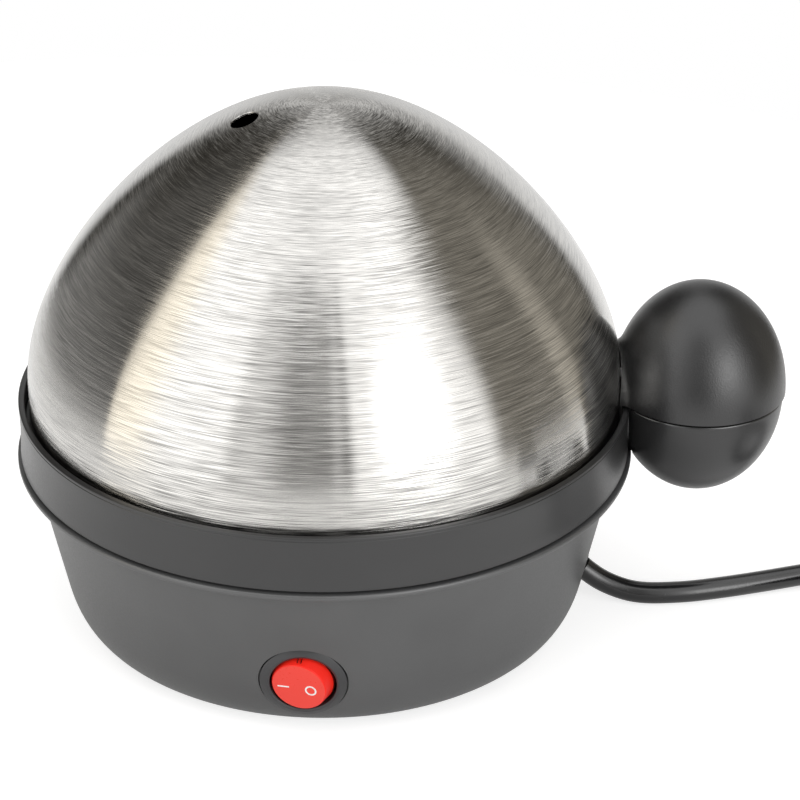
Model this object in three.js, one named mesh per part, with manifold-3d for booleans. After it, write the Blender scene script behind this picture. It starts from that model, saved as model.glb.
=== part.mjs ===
// Egg cooker with a domed steel lid, an egg-shaped split handle and a round rocker switch.
// Millimetres, +Z up. The housing's axis is vertical; the handle points along +X and the switch is at -Y.
// The origin is under the middle of the outline, on the surface that the cooker stands on.

import * as THREE from "three";
import { mergeVertices } from "three/addons/utils/BufferGeometryUtils.js";
import Module from "manifold-3d";

const wasm = await Module();
wasm.setup();

// ---------------------------------------------------------------------------------------------
// Driving dimensions
// ---------------------------------------------------------------------------------------------

const FIT = 0.3; // clearance between pieces that touch
const ROUND = 32; // facets round the housing
const MEDIUM_ROUND = 16; // facets round the switch, the rack's holes and the like
const EGG_ROUND = 24;
const SMALL_ROUND = 8; // facets round bosses and bores
const BEYOND = 100; // reach of a cutting tool past the piece that it cuts

// Base bowl
const FOOT_HEIGHT = 1.5; // how far the feet lift the bowl
const FLANGE_HEIGHT = 50.6; // underside of the flange
const FLANGE_THICKNESS = 1.6;
const FLANGE_REACH = 0.9; // how far the flange stands out past the collar
const FLANGE_WIDTH = 4.3; // from the bowl's wall out to the flange's edge
const BOWL_TAPER = 0.215; // radius lost for each millimetre of depth
const BOWL_CORNER_HEIGHT = 14.1; // where the wall starts to turn under
const BOWL_CORNER_WIDTH = 19; // from the flat bottom out to the wall's top
const BOWL_WALL = 2.2;
const LOCATING_LIP_HEIGHT = 3.8;
const LOCATING_LIP_WALL = 2;

// Bottom cover and feet
const COVER_MARGIN = 7.4; // from the cover's edge out to the end of the flat bottom
const COVER_THICKNESS = 2.6;
const COVER_COUNTERBORE = 1.5;
const COVER_RECESS = 0.5; // how far the cover sits above the bowl's bottom
const COVER_LEDGE = 5; // width of the bowl's ledge above the cover
const COVER_SCREW_INSET = 3.1;
const COVER_SCREWS = 3;
const VENT_SLOTS = 5;
const VENT_SLOT_LENGTH = 26;
const VENT_SLOT_WIDTH = 3;
const FOOT_COUNT = 4;
const FOOT_RADIUS = 5.5;
const FOOT_INSET = 9.7; // from the cover's edge in to the feet
const FOOT_STEM_RADIUS = 1.9;

// Collar
const COLLAR_RADIUS = 85.5; // sets the housing, the lid, the rack and the pan
const COLLAR_WALL = 1.8;
const COLLAR_WAIST = 0.4; // how far the face draws in at mid height
const COLLAR_HEIGHT = 16; // from the collar's lower edge up to the rim
const REVEAL = 0.8; // shadow gap between the flange and the collar
const LEDGE_DEPTH = 5.7; // from the rim down to the ledge that carries the lid
const LEDGE_THICKNESS = 2.2;
const LEDGE_WIDTH = 23.1; // from the collar's wall in to the pan's flange
const PAN_SEAT_DEPTH = 3.4; // from the ledge down to the seat of the pan's seal

// Screws from the bowl up into the collar, and the posts that the clamp bridge hangs from
const COLLAR_SCREWS = 4;
const BOSS_INSET = 16.1; // from the bowl's wall in to the screws
const BOSS_RADIUS = 3.8;
const BOSS_BOTTOM = 36.3;
const WELL_WALL = 1.3;
const WELL_BORE = 3.3;
const WELL_WEB = 3;
const SCREW_SHANK = 1.8;
const SCREW_BITE = 12; // thread inside the boss
const SCREW_HEAD = 1.75; // head radius for each millimetre of shank radius
const SMALL_SHANK = 1.4;
const POST_RADIUS = 4;

// Lid
const LID_GAP = 1.15; // between the collar and the dome
const DOME_WALL = 0.6;
const DOME_STRAIGHT = 6; // how far above the rim the side stays upright
const DOME_RISE = 84.8; // from the rim up to the apex
const DOME_SIDE_PULL = 31.3; // how far the side keeps its upright direction
const DOME_CROWN_PULL = 37.5; // how far the crown keeps its level direction
const DOME_CROWN_LIFT = 3;
const HEM_WIDTH = 1.7;
const HEM_HEIGHT = 1.3;
const STEAM_HOLE_RADIUS = 4;
const STEAM_HOLE_OFFSET = 21.4;
const STEAM_HOLE_AZIMUTH = 189;

// Egg-shaped handle, split level with the rim
const EGG_REACH = 19.1; // from the collar's face out to the egg's centre
const EGG_UPPER_HEIGHT = 31;
const EGG_LOWER_RADIUS = 23.7;
const EGG_OVERHANG = 0.65; // how far the upper half stands out past the lower
const EGG_LOWER_DEPTH = 29.4;
const EGG_WALL = 2.2;
const EGG_SPLIT_RISE = 0.4; // lower half's edge above the rim
const EGG_SPLIT_GAP = 0.5;
const SADDLE_HALF_WIDTH = 12.4;
const SADDLE_HEIGHT = 12.6;
const HANDLE_SCREW_SPACING = 13;
const HANDLE_SCREW_RISE = 7; // above the split
const HANDLE_BOSS_LENGTH = 9;
const HANDLE_COVER_THICKNESS = 1.8;
const WASHER_RADIUS = 3.4;
const WASHER_THICKNESS = 0.8;

// Water pan and its seal
const PAN_FLANGE_WIDTH = 4.8;
const PAN_FLARE = 5.8; // how much wider the pan is at its top than at its floor
const PAN_CORNER = 6;
const PAN_DEPTH = 20.6;
const PAN_WALL = 0.8;
const SEAL_THICKNESS = 1;

// Heating
const PLATE_RADIUS = 40;
const PLATE_THICKNESS = 4;
const ELEMENT_RADIUS = 30;
const ELEMENT_TUBE = 3.2;
const ELEMENT_GAP = 9; // half the space between the element's ends
const ELEMENT_DROP = 10; // how far its ends reach below the ring
const ELEMENT_TURN = 4.2; // how far its ends stand in from the ring's gap
const STUD_RADIUS = 2.4;
const STUD_LENGTH = 15;
const BRIDGE_END = 4.5; // past the screw at each end
const BRIDGE_WIDTH = 14;
const BRIDGE_AZIMUTH = 20;
const BRIDGE_THICKNESS = 1.2;
const BRIDGE_CLEARANCE = 0.9; // below the element
const NUT_HEIGHT = 4;
const NUT_RADIUS = 4.4;
const THERMOSTAT_RADIUS = 8;
const THERMOSTAT_HEIGHT = 10.5;
const THERMOSTAT_PLACE = 17.5;
const CLAMP_EAR = 13.5;
const CLAMP_SCREW_LENGTH = 7.5;
const FUSE_RADIUS = 2.2;
const FUSE_LENGTH = 11;
const FUSE_PLACE = -15;
const FUSE_SCREW_PLACE = -21.3;

// Egg rack
const RACK_CLEARANCE = 5.4; // between the dome's hem and the rack's foot
const RACK_FOOT_WIDTH = 1.4;
const RACK_FLARE = 2; // how far the skirt spreads on its way down
const RACK_SKIRT_HEIGHT = 8.2; // from the ledge up to the plate
const RACK_SHEET = 0.8;
const RACK_EGGS = 7;
const RACK_EGG_INSET = 21; // from the rack's edge in to the middle of each egg
const RACK_HOLE_RADIUS = 19;
const RACK_LIP_DEPTH = 1.2;
const RACK_STEAM_HOLES = 7;
const RACK_STEAM_RADIUS = 3;
const RACK_STEAM_INSET = 29; // from the middle of the eggs in to the steam holes
const STEM_RADIUS = 3;
const STEM_HEIGHT = 36;
const KNOB_RADIUS = 8.5;
const KNOB_HEIGHT = 13;

// Rocker switch
const SWITCH_AZIMUTH = -93.1;
const SWITCH_TILT = 9.2; // the switch looks this far below the level
const SWITCH_SINK = 0.64; // the bezel's edge lies this far inside the wall's line
const SWITCH_HEIGHT = 18.7;
const BEZEL_RADIUS = 11.75;
const BEZEL_EDGE = 1.2;
const BEZEL_RISE = 1.2;
const ROCKER_WELL_RADIUS = 9;
const ROCKER_WELL_DEPTH = 8.4;
const BARREL_RADIUS = 9.8;
const BARREL_DEPTH = 10;
const SWITCH_BOX_WIDTH = 13;
const SWITCH_BOX_HEIGHT = 16;
const SWITCH_BOX_DEPTH = 11;
const ROCKER_FACE_RADIUS = 7.4;
const ROCKER_RADIUS = 8.7;
const ROCKER_RISE = 5.2; // face above the pivot
const ROCKER_PIVOT = -2.6; // pivot behind the bezel's edge
const ROCKER_TILT = 12;
const TERMINAL_SPACING = 7;

// Mains lead
const CORD_RADIUS = 3.15;
const CORD_SIDES = 8;
const EXIT_HEIGHT = 10.9;
const EXIT_SLOPE = 40; // degrees below the level
const EXIT_AZIMUTH = -6;
const EXIT_SINK = 0.35; // the relief's face lies this far inside the wall's corner
const RELIEF_RADIUS = 5.2;
const RELIEF_NECK = 4.2;
const RELIEF_FLANGE = 1.6; // thickness of its outer flange
const RELIEF_GRIP = 3; // width of the groove that holds the wall
const RELIEF_LENGTH = 22;
const COIL_RADIUS = 33;
const COIL_THICKNESS = 12.8;
const COIL_X = 186;
const COIL_Y = -19.9;
const PLUG_X = 229;
const PLUG_Y = -48;
const PLUG_RADIUS = 19;
const PLUG_LENGTH = 30;
const PLUG_NOSE = 22;
const PLUG_GRIP_LENGTH = 20; // of the finger grooves
const PLUG_GRIP_WIDTH = 6;
const PLUG_GRIP_DEPTH = 3;
const PIN_RADIUS = 2.4;
const PIN_LENGTH = 19;
const PIN_SPACING = 19;
const WIRE_RADIUS = 1.1;
const WIRE_STEPS = 12;
const WIRE_SIDES = 5;

// ---------------------------------------------------------------------------------------------
// Heights and places that follow from the driving dimensions
// ---------------------------------------------------------------------------------------------

const collarInside = COLLAR_RADIUS - COLLAR_WALL;
const domeRadius = collarInside - LID_GAP;
const eggCentre = COLLAR_RADIUS + EGG_REACH;
const eggUpperRadius = EGG_LOWER_RADIUS + EGG_OVERHANG;
const flangeRadius = COLLAR_RADIUS + FLANGE_REACH;
const bowlTopRadius = flangeRadius - FLANGE_WIDTH;
const bowlRadiusAt = (height) => bowlTopRadius - BOWL_TAPER * (FLANGE_HEIGHT - height);
const bowlCornerRadius = bowlRadiusAt(BOWL_CORNER_HEIGHT);
const bowlFootRadius = bowlRadiusAt(FOOT_HEIGHT);
const bowlFlatRadius = bowlTopRadius - BOWL_CORNER_WIDTH;
const bossCircle = bowlTopRadius - BOSS_INSET;
const coverRadius = bowlFlatRadius - COVER_MARGIN;
const coverScrewCircle = coverRadius - COVER_SCREW_INSET;
const footCircle = coverRadius - FOOT_INSET;
const switchDistance = bowlRadiusAt(SWITCH_HEIGHT) - SWITCH_SINK;
const exitDistance = bowlCornerRadius - EXIT_SINK;
const panFlangeRadius = collarInside - LEDGE_WIDTH;
const panTopRadius = panFlangeRadius - PAN_FLANGE_WIDTH;
const panFloorRadius = panTopRadius - PAN_FLARE;
const rackFootRadius = domeRadius - HEM_WIDTH - RACK_CLEARANCE;
const rackRadius = rackFootRadius - RACK_FOOT_WIDTH - RACK_FLARE;
const rackEggCircle = rackRadius - RACK_EGG_INSET;
const rackSteamCircle = rackEggCircle - RACK_STEAM_INSET;
const flangeTop = FLANGE_HEIGHT + FLANGE_THICKNESS;
const collarBottom = flangeTop + REVEAL;
const rimHeight = collarBottom + COLLAR_HEIGHT;
const ledgeHeight = rimHeight - LEDGE_DEPTH;
const ledgeUnderside = ledgeHeight - LEDGE_THICKNESS;
const sealSeat = ledgeHeight - PAN_SEAT_DEPTH;
const coverBottom = FOOT_HEIGHT + COVER_RECESS;
const coverTop = coverBottom + COVER_THICKNESS;
const bowlFloorTop = coverTop + FIT + BOWL_WALL;
const panFlangeBottom = sealSeat + FIT + SEAL_THICKNESS + FIT;
const panFloorBottom = panFlangeBottom + PAN_WALL - PAN_DEPTH - PAN_WALL;
const plateTop = panFloorBottom - FIT;
const plateBottom = plateTop - PLATE_THICKNESS;
const elementHeight = plateBottom - FIT - ELEMENT_TUBE;
const bridgeTop = elementHeight - ELEMENT_TUBE - BRIDGE_CLEARANCE;
const bridgeBottom = bridgeTop - BRIDGE_THICKNESS;
const hemBottom = ledgeHeight + FIT;
const domeStraightTop = rimHeight + DOME_STRAIGHT;
const domeApex = rimHeight + DOME_RISE;
const rackPlateHeight = ledgeHeight + RACK_SKIRT_HEIGHT;
const lowerSplit = rimHeight + EGG_SPLIT_RISE;
const upperSplit = lowerSplit + EGG_SPLIT_GAP;
const handleScrewHeight = upperSplit + HANDLE_SCREW_RISE;
const rackTop = rackPlateHeight + RACK_SHEET;
const centreShift = (eggCentre + eggUpperRadius - flangeRadius) / 2;

const radians = THREE.MathUtils.degToRad;

// ---------------------------------------------------------------------------------------------
// Solids
// ---------------------------------------------------------------------------------------------

// Turns a closed three.js geometry into a solid with its faces pointing out.
function solid(geometry) {
  const bare = geometry.index ? geometry.toNonIndexed() : geometry.clone();
  bare.deleteAttribute("normal");
  bare.deleteAttribute("uv");
  const merged = mergeVertices(bare, 1e-4);
  const corners = merged.attributes.position;
  const order = merged.index.array;
  const faces = [];
  const a = new THREE.Vector3();
  const b = new THREE.Vector3();
  const c = new THREE.Vector3();
  let volume = 0;
  for (let i = 0; i < order.length; i += 3) {
    const [p, q, r] = [order[i], order[i + 1], order[i + 2]];
    if (p !== q && q !== r && r !== p) faces.push([p, q, r]);
    a.fromBufferAttribute(corners, p);
    b.fromBufferAttribute(corners, q);
    c.fromBufferAttribute(corners, r);
    volume += a.dot(b.cross(c));
  }
  const outward = volume < 0 ? faces.map(([p, q, r]) => [p, r, q]) : faces;
  return new wasm.Manifold(
    new wasm.Mesh({
      numProp: 3,
      vertProperties: new Float32Array(corners.array),
      triVerts: new Uint32Array(outward.flat()),
    }),
  );
}

function geometryOf(body) {
  const mesh = body.getMesh();
  const geometry = new THREE.BufferGeometry();
  geometry.setAttribute("position", new THREE.BufferAttribute(mesh.vertProperties, 3));
  geometry.setIndex(new THREE.BufferAttribute(mesh.triVerts, 1));
  geometry.computeVertexNormals();
  return geometry;
}

const join = (bodies) => bodies.reduce((whole, body) => whole.add(body));
const cut = (body, tools) => tools.reduce((rest, tool) => rest.subtract(tool), body);

// A solid of revolution about +Z from [radius, height] points.
function revolve(points, facets = ROUND) {
  const outline = points.map(([r, z]) => new THREE.Vector2(Math.max(r, 0), z));
  const [first, last] = [outline[0], outline[outline.length - 1]];
  const onAxis = first.x === 0 && last.x === 0;
  if (!onAxis) outline.push(first.clone());
  const geometry = new THREE.LatheGeometry(outline, facets);
  geometry.rotateX(Math.PI / 2);
  return solid(geometry);
}

// An upright cylinder from one height to another.
function rod(radius, bottom, top, facets = SMALL_ROUND, topRadius = radius) {
  const geometry = new THREE.CylinderGeometry(topRadius, radius, top - bottom, facets);
  geometry.rotateX(Math.PI / 2);
  geometry.translate(0, 0, (bottom + top) / 2);
  return solid(geometry);
}

function block(width, depth, bottom, top) {
  const geometry = new THREE.BoxGeometry(width, depth, top - bottom);
  geometry.translate(0, 0, (bottom + top) / 2);
  return solid(geometry);
}

// A closed outline drawn up by a thickness, with the given holes.
function plate(outline, bottom, top, holes = [], curveSegments = SMALL_ROUND) {
  const shape = new THREE.Shape(outline);
  shape.holes.push(...holes);
  const geometry = new THREE.ExtrudeGeometry(shape, {
    depth: top - bottom,
    bevelEnabled: false,
    curveSegments,
  });
  geometry.translate(0, 0, bottom);
  return solid(geometry);
}

function circle(radius, facets, x = 0, y = 0) {
  return Array.from({ length: facets }, (_, i) => {
    const angle = (i / facets) * 2 * Math.PI;
    return new THREE.Vector2(x + radius * Math.cos(angle), y + radius * Math.sin(angle));
  });
}

// A tube of even section along a smooth route.
function tube(route, radius, sides, steps) {
  const path = new THREE.CatmullRomCurve3(route.map((p) => new THREE.Vector3(...p)), false, "centripetal");
  const section = new THREE.Shape(circle(radius, sides));
  return solid(new THREE.ExtrudeGeometry(section, { steps, extrudePath: path, bevelEnabled: false }));
}

const moved = (body, x, y, z) => body.translate([x, y, z]);
const spun = (body, degrees) => body.rotate([0, 0, degrees]);
const polar = (radius, degrees) => [radius * Math.cos(radians(degrees)), radius * Math.sin(radians(degrees))];

// Points of a path whose curves are drawn with the given number of steps.
const pointsOf = (path, steps) => path.getPoints(steps).map((p) => [p.x, p.y]);

// The same outline moved sideways by a distance, to the left of its direction of travel.
function offset(points, distance) {
  return points.map(([r, z], i) => {
    const [r0, z0] = points[Math.max(i - 1, 0)];
    const [r1, z1] = points[Math.min(i + 1, points.length - 1)];
    const length = Math.hypot(r1 - r0, z1 - z0);
    const shifted = r - (distance * (z1 - z0)) / length;
    return [r === 0 ? 0 : Math.max(shifted, 0), z + (distance * (r1 - r0)) / length];
  });
}

// ---------------------------------------------------------------------------------------------
// The scene graph
// ---------------------------------------------------------------------------------------------

const cooker = new THREE.Group();
cooker.position.x = -centreShift;

function add(name, body, [color, roughness, metalness], parent = cooker) {
  const material = new THREE.MeshStandardMaterial({ color, roughness, metalness });
  const mesh = new THREE.Mesh(geometryOf(body), material);
  mesh.name = name;
  parent.add(mesh);
  return mesh;
}

const MOULDING = [0x2c2d2f, 0.55, 0];
const BRUSHED_STEEL = [0xb8b6b0, 0.32, 1];
const PLAIN_STEEL = [0x9a9a98, 0.4, 1];
const ALUMINIUM = [0xa9abad, 0.5, 1];
const BRASS = [0xb5954a, 0.4, 1];
const RUBBER = [0x18181a, 0.85, 0];
const SILICONE = [0xc9c4ba, 0.7, 0];
const CERAMIC = [0xd8d2c4, 0.6, 0];
const RED = [0xe8302a, 0.35, 0];
const CORD = [0x1c1c1e, 0.6, 0];

// A pan-head screw that points up, its head's underside at the origin.
function screw(length, shank = SCREW_SHANK) {
  const head = shank * SCREW_HEAD;
  return revolve(
    [
      [0, -shank],
      [head * 0.7, -shank],
      [head, 0],
      [shank, 0],
      [shank, length],
      [0, length],
    ],
    SMALL_ROUND,
  );
}

// ---------------------------------------------------------------------------------------------
// Base bowl
// ---------------------------------------------------------------------------------------------

// Outside of the bowl from its bottom up to the flange.
function bowlOutside() {
  const path = new THREE.Path();
  path.moveTo(bowlFlatRadius, FOOT_HEIGHT);
  path.quadraticCurveTo(bowlFootRadius, FOOT_HEIGHT, bowlCornerRadius, BOWL_CORNER_HEIGHT);
  path.lineTo(bowlTopRadius, FLANGE_HEIGHT);
  return pointsOf(path, 4);
}

const switchSeat = -BEZEL_EDGE - FIT;
const reliefSeat = -RELIEF_FLANGE;

function switchFrame() {
  const azimuth = radians(SWITCH_AZIMUTH);
  const tilt = radians(SWITCH_TILT);
  const outward = new THREE.Vector3(
    Math.cos(azimuth) * Math.cos(tilt),
    Math.sin(azimuth) * Math.cos(tilt),
    -Math.sin(tilt),
  );
  const sideways = new THREE.Vector3(-Math.sin(azimuth), Math.cos(azimuth), 0);
  const upward = outward.clone().cross(sideways);
  const place = new THREE.Matrix4().makeBasis(sideways, upward, outward);
  const [x, y] = polar(switchDistance, SWITCH_AZIMUTH);
  return place.setPosition(x, y, SWITCH_HEIGHT);
}

// The cord's exit: +X of this frame runs out along the cord.
function exitFrame() {
  const turn = new THREE.Euler(0, radians(EXIT_SLOPE), radians(EXIT_AZIMUTH), "ZYX");
  const place = new THREE.Matrix4().makeRotationFromEuler(turn);
  return place.setPosition(exitDistance, 0.2, EXIT_HEIGHT);
}

const inFrame = (body, frame) => body.transform(frame.elements);

function baseBowl() {
  const outside = bowlOutside();
  const inside = offset(outside, BOWL_WALL).slice(1).reverse();
  const lipOutside = collarInside - FIT;
  const lipInside = lipOutside - LOCATING_LIP_WALL;
  const lipTop = flangeTop + LOCATING_LIP_HEIGHT;
  const chamfer = 0.4;
  const ledgeRadius = coverRadius - COVER_LEDGE;
  const shell = revolve([
    [coverRadius + FIT, FOOT_HEIGHT],
    ...outside,
    [flangeRadius - chamfer, FLANGE_HEIGHT],
    [flangeRadius, FLANGE_HEIGHT + chamfer],
    [flangeRadius, flangeTop - chamfer],
    [flangeRadius - chamfer, flangeTop],
    [lipOutside, flangeTop],
    [lipOutside, lipTop],
    [lipInside, lipTop],
    [lipInside, flangeTop],
    [inside[0][0], flangeTop],
    ...inside.filter(([, z]) => z > bowlFloorTop),
    [bowlFlatRadius, bowlFloorTop],
    [ledgeRadius, bowlFloorTop],
    [ledgeRadius, coverTop + FIT],
    [coverRadius + FIT, coverTop + FIT],
  ]);
  const envelope = revolve([[0, FOOT_HEIGHT], ...outside, [0, FLANGE_HEIGHT]]);
  const wells = [];
  const bores = [];
  const wellTop = BOSS_BOTTOM - FIT;
  for (let i = 0; i < COLLAR_SCREWS; i += 1) {
    const [x, y] = polar(bossCircle, 45 + (i * 360) / COLLAR_SCREWS);
    wells.push(moved(rod(WELL_BORE + WELL_WALL, 0, wellTop), x, y, 0).intersect(envelope));
    bores.push(moved(rod(WELL_BORE, -1, wellTop - WELL_WEB), x, y, 0));
    bores.push(moved(rod(SCREW_SHANK + FIT, 0, wellTop + 1), x, y, 0));
  }
  const coverHoles = [];
  for (let i = 0; i < COVER_SCREWS; i += 1) {
    const [x, y] = polar(coverScrewCircle, coverScrewAngle(i));
    coverHoles.push(moved(rod(SMALL_SHANK + FIT, 0, bowlFloorTop + 1), x, y, 0));
  }
  const seat = switchFrame();
  const seatPad = inFrame(rod(BEZEL_RADIUS, switchSeat - BOWL_WALL, switchSeat, 24), seat);
  const seatRecess = inFrame(rod(BEZEL_RADIUS + 2 * FIT, switchSeat, switchSeat + 12, MEDIUM_ROUND), seat);
  const seatHole = inFrame(rod(BARREL_RADIUS + FIT, -BARREL_DEPTH, 2, MEDIUM_ROUND), seat);
  const hollow = rod(BEZEL_RADIUS, switchSeat - BOWL_WALL - 9, switchSeat - BOWL_WALL, MEDIUM_ROUND);
  const exit = exitFrame();
  const along = (radius, from, to) => inFrame(rod(radius, from, to, MEDIUM_ROUND).rotate([0, 90, 0]), exit);
  const exitDisc = along(RELIEF_RADIUS + 2.5, reliefSeat - RELIEF_GRIP + FIT, reliefSeat - FIT);
  const exitPad = exitDisc.intersect(envelope);
  return cut(join([shell, ...wells, seatPad, exitPad]), [
    ...bores,
    ...coverHoles,
    seatRecess,
    inFrame(hollow, seat),
    seatHole,
    along(RELIEF_RADIUS + 2.5, reliefSeat - RELIEF_GRIP - 9, reliefSeat - RELIEF_GRIP + FIT),
    along(RELIEF_RADIUS + FIT, reliefSeat - FIT, 9),
    along(RELIEF_NECK + FIT, -RELIEF_LENGTH, 9),
  ]);
}

const coverScrewAngle = (i) => 90 + (i * 360) / COVER_SCREWS;

function bottomCover() {
  const disc = rod(coverRadius, coverBottom, coverTop, ROUND);
  const tools = [];
  for (let i = 0; i < COVER_SCREWS; i += 1) {
    const [x, y] = polar(coverScrewCircle, coverScrewAngle(i));
    tools.push(moved(rod(SMALL_SHANK + FIT, 0, coverTop + 1), x, y, 0));
    tools.push(moved(rod(SMALL_SHANK * SCREW_HEAD + FIT, 0, coverBottom + COVER_COUNTERBORE), x, y, 0));
  }
  for (let i = 0; i < FOOT_COUNT; i += 1) {
    const [x, y] = polar(footCircle, 45 + (i * 360) / FOOT_COUNT);
    tools.push(moved(rod(FOOT_STEM_RADIUS + FIT, 0, coverTop + 1), x, y, 0));
  }
  for (let i = 0; i < VENT_SLOTS; i += 1) {
    const y = (i - (VENT_SLOTS - 1) / 2) * VENT_SLOT_WIDTH * 2.5;
    tools.push(moved(block(VENT_SLOT_LENGTH, VENT_SLOT_WIDTH, 0, coverTop + 1), 0, y, 0));
  }
  return cut(disc, tools);
}

function foot() {
  const step = coverBottom - FIT;
  return revolve(
    [
      [0, 0],
      [FOOT_RADIUS, 0],
      [FOOT_RADIUS - 0.3, step],
      [FOOT_STEM_RADIUS, step],
      [FOOT_STEM_RADIUS, coverTop + 1.5],
      [0, coverTop + 2],
    ],
    12,
  );
}

// ---------------------------------------------------------------------------------------------
// Collar with the lower half of the handle
// ---------------------------------------------------------------------------------------------

const bridgePosts = [BRIDGE_AZIMUTH, BRIDGE_AZIMUTH + 180].map((azimuth) => polar(bossCircle, azimuth));

// Half an egg: the outline runs from the split to the pole.
function halfEgg(radius, height, steps = 6) {
  return Array.from({ length: steps + 1 }, (_, i) => {
    const angle = (i / steps) * (Math.PI / 2);
    return [i === steps ? 0 : radius * Math.cos(angle), height * Math.sin(angle)];
  });
}

function halfEggSolid(radius, height) {
  return revolve([[0, 0], ...halfEgg(radius, height)], EGG_ROUND);
}

// The solid outline of a saddle that runs in along -X: arched on top, or square.
function saddle(halfWidth, height, arched) {
  const shape = new THREE.Shape();
  shape.moveTo(-halfWidth, 0);
  if (arched) shape.absellipse(0, 0, halfWidth, height, Math.PI, 0, true);
  else shape.lineTo(-halfWidth, height).lineTo(halfWidth, height).lineTo(halfWidth, 0);
  const reach = eggCentre - COLLAR_RADIUS + 10;
  const geometry = new THREE.ExtrudeGeometry(shape, { depth: reach, bevelEnabled: false, curveSegments: 10 });
  geometry.rotateX(Math.PI / 2);
  geometry.rotateZ(Math.PI / 2);
  geometry.translate(eggCentre - reach, 0, 0);
  return solid(geometry);
}

function collarRing() {
  const edge = 0.4;
  const middle = (collarBottom + rimHeight) / 2;
  const face = new THREE.Path();
  face.moveTo(COLLAR_RADIUS, collarBottom);
  face.quadraticCurveTo(COLLAR_RADIUS - 2 * COLLAR_WAIST, middle, COLLAR_RADIUS, rimHeight - 2 * edge);
  const seatRadius = panFlangeRadius + 4 * FIT;
  const opening = panTopRadius + 1.5;
  const ring = revolve([
    ...pointsOf(face, 3),
    [COLLAR_RADIUS - edge, rimHeight],
    [collarInside + edge, rimHeight],
    [collarInside, rimHeight - edge],
    [collarInside, ledgeHeight],
    [seatRadius, ledgeHeight],
    [seatRadius, sealSeat],
    [opening, sealSeat],
    [opening, sealSeat - LEDGE_THICKNESS],
    [seatRadius + LEDGE_THICKNESS, sealSeat - LEDGE_THICKNESS],
    [seatRadius + LEDGE_THICKNESS, ledgeUnderside],
    [collarInside, ledgeUnderside],
    [collarInside, collarBottom],
  ]);
  const bosses = [];
  const pilots = [];
  for (let i = 0; i < COLLAR_SCREWS; i += 1) {
    const [x, y] = polar(bossCircle, 45 + (i * 360) / COLLAR_SCREWS);
    bosses.push(moved(rod(BOSS_RADIUS, BOSS_BOTTOM, ledgeUnderside + 1), x, y, 0));
    pilots.push(moved(rod(SCREW_SHANK + FIT, BOSS_BOTTOM - 1, BOSS_BOTTOM + 12), x, y, 0));
  }
  for (const [x, y] of bridgePosts) {
    bosses.push(moved(rod(POST_RADIUS, bridgeTop + FIT, ledgeUnderside + 1), x, y, 0));
    pilots.push(moved(rod(SCREW_SHANK + FIT, bridgeTop - 1, bridgeTop + 11), x, y, 0));
  }
  return cut(join([ring, lowerEgg(), ...bosses]), pilots);
}

function lowerEgg() {
  const outer = halfEggSolid(EGG_LOWER_RADIUS, EGG_LOWER_DEPTH).mirror([0, 0, 1]);
  const inner = halfEggSolid(EGG_LOWER_RADIUS - EGG_WALL, EGG_LOWER_DEPTH - EGG_WALL).mirror([0, 0, 1]);
  const neckHeight = lowerSplit - collarBottom;
  const neck = moved(saddle(SADDLE_HALF_WIDTH, neckHeight, false), 0, 0, collarBottom);
  const eggBox = block(2 * EGG_LOWER_RADIUS, 2 * EGG_LOWER_RADIUS, -EGG_LOWER_DEPTH, 0);
  const neckPart = neck.subtract(moved(eggBox, eggCentre + EGG_LOWER_RADIUS * 0.6, 0, lowerSplit));
  const housing = rod(COLLAR_RADIUS - COLLAR_WALL / 2, 0, BEYOND, ROUND);
  const flange = rod(flangeRadius + FIT, 0, collarBottom, ROUND);
  const egg = cut(moved(outer, eggCentre, 0, lowerSplit).add(neckPart), [housing, flange]);
  return egg.subtract(moved(inner, eggCentre, 0, lowerSplit + 0.01));
}

// A flat cover inside one half of the egg, trimmed to clear the housing or the dome.
function splitCover(radius, bottom, clear) {
  const disc = rod(radius - EGG_WALL - 2 * FIT, bottom, bottom + HANDLE_COVER_THICKNESS, EGG_ROUND);
  return moved(disc, eggCentre, 0, 0).subtract(rod(clear + FIT, bottom - 9, bottom + 9, ROUND));
}

// ---------------------------------------------------------------------------------------------
// Lid
// ---------------------------------------------------------------------------------------------

function domeOutside(steps = 9) {
  const path = new THREE.Path();
  path.moveTo(domeRadius, domeStraightTop);
  path.bezierCurveTo(
    domeRadius,
    domeStraightTop + DOME_SIDE_PULL,
    DOME_CROWN_PULL,
    domeApex + DOME_CROWN_LIFT,
    0,
    domeApex,
  );
  return pointsOf(path, steps);
}

function domeSolid(grow = 0) {
  const skin = offset(domeOutside(), -grow);
  return revolve([[0, 0], [domeRadius + grow, 0], ...skin]);
}

// Height of the dome's outside at a distance from its axis.
function domeHeightAt(radius) {
  const skin = domeOutside(60);
  const i = skin.findIndex(([r]) => r <= radius);
  const [[r0, z0], [r1, z1]] = [skin[i - 1], skin[i]];
  return z0 + ((z1 - z0) * (r0 - radius)) / (r0 - r1);
}

// Distance from the axis out to the dome's outside at a height.
function domeRadiusAt(height) {
  const skin = domeOutside();
  const i = skin.findIndex(([, z]) => z > height);
  if (i < 1) {
    return domeRadius;
  }
  const [[r0, z0], [r1, z1]] = [skin[i - 1], skin[i]];
  return r0 + ((r1 - r0) * (height - z0)) / (z1 - z0);
}

function handleScrewPlaces() {
  return [-HANDLE_SCREW_SPACING / 2, HANDLE_SCREW_SPACING / 2];
}

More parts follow.
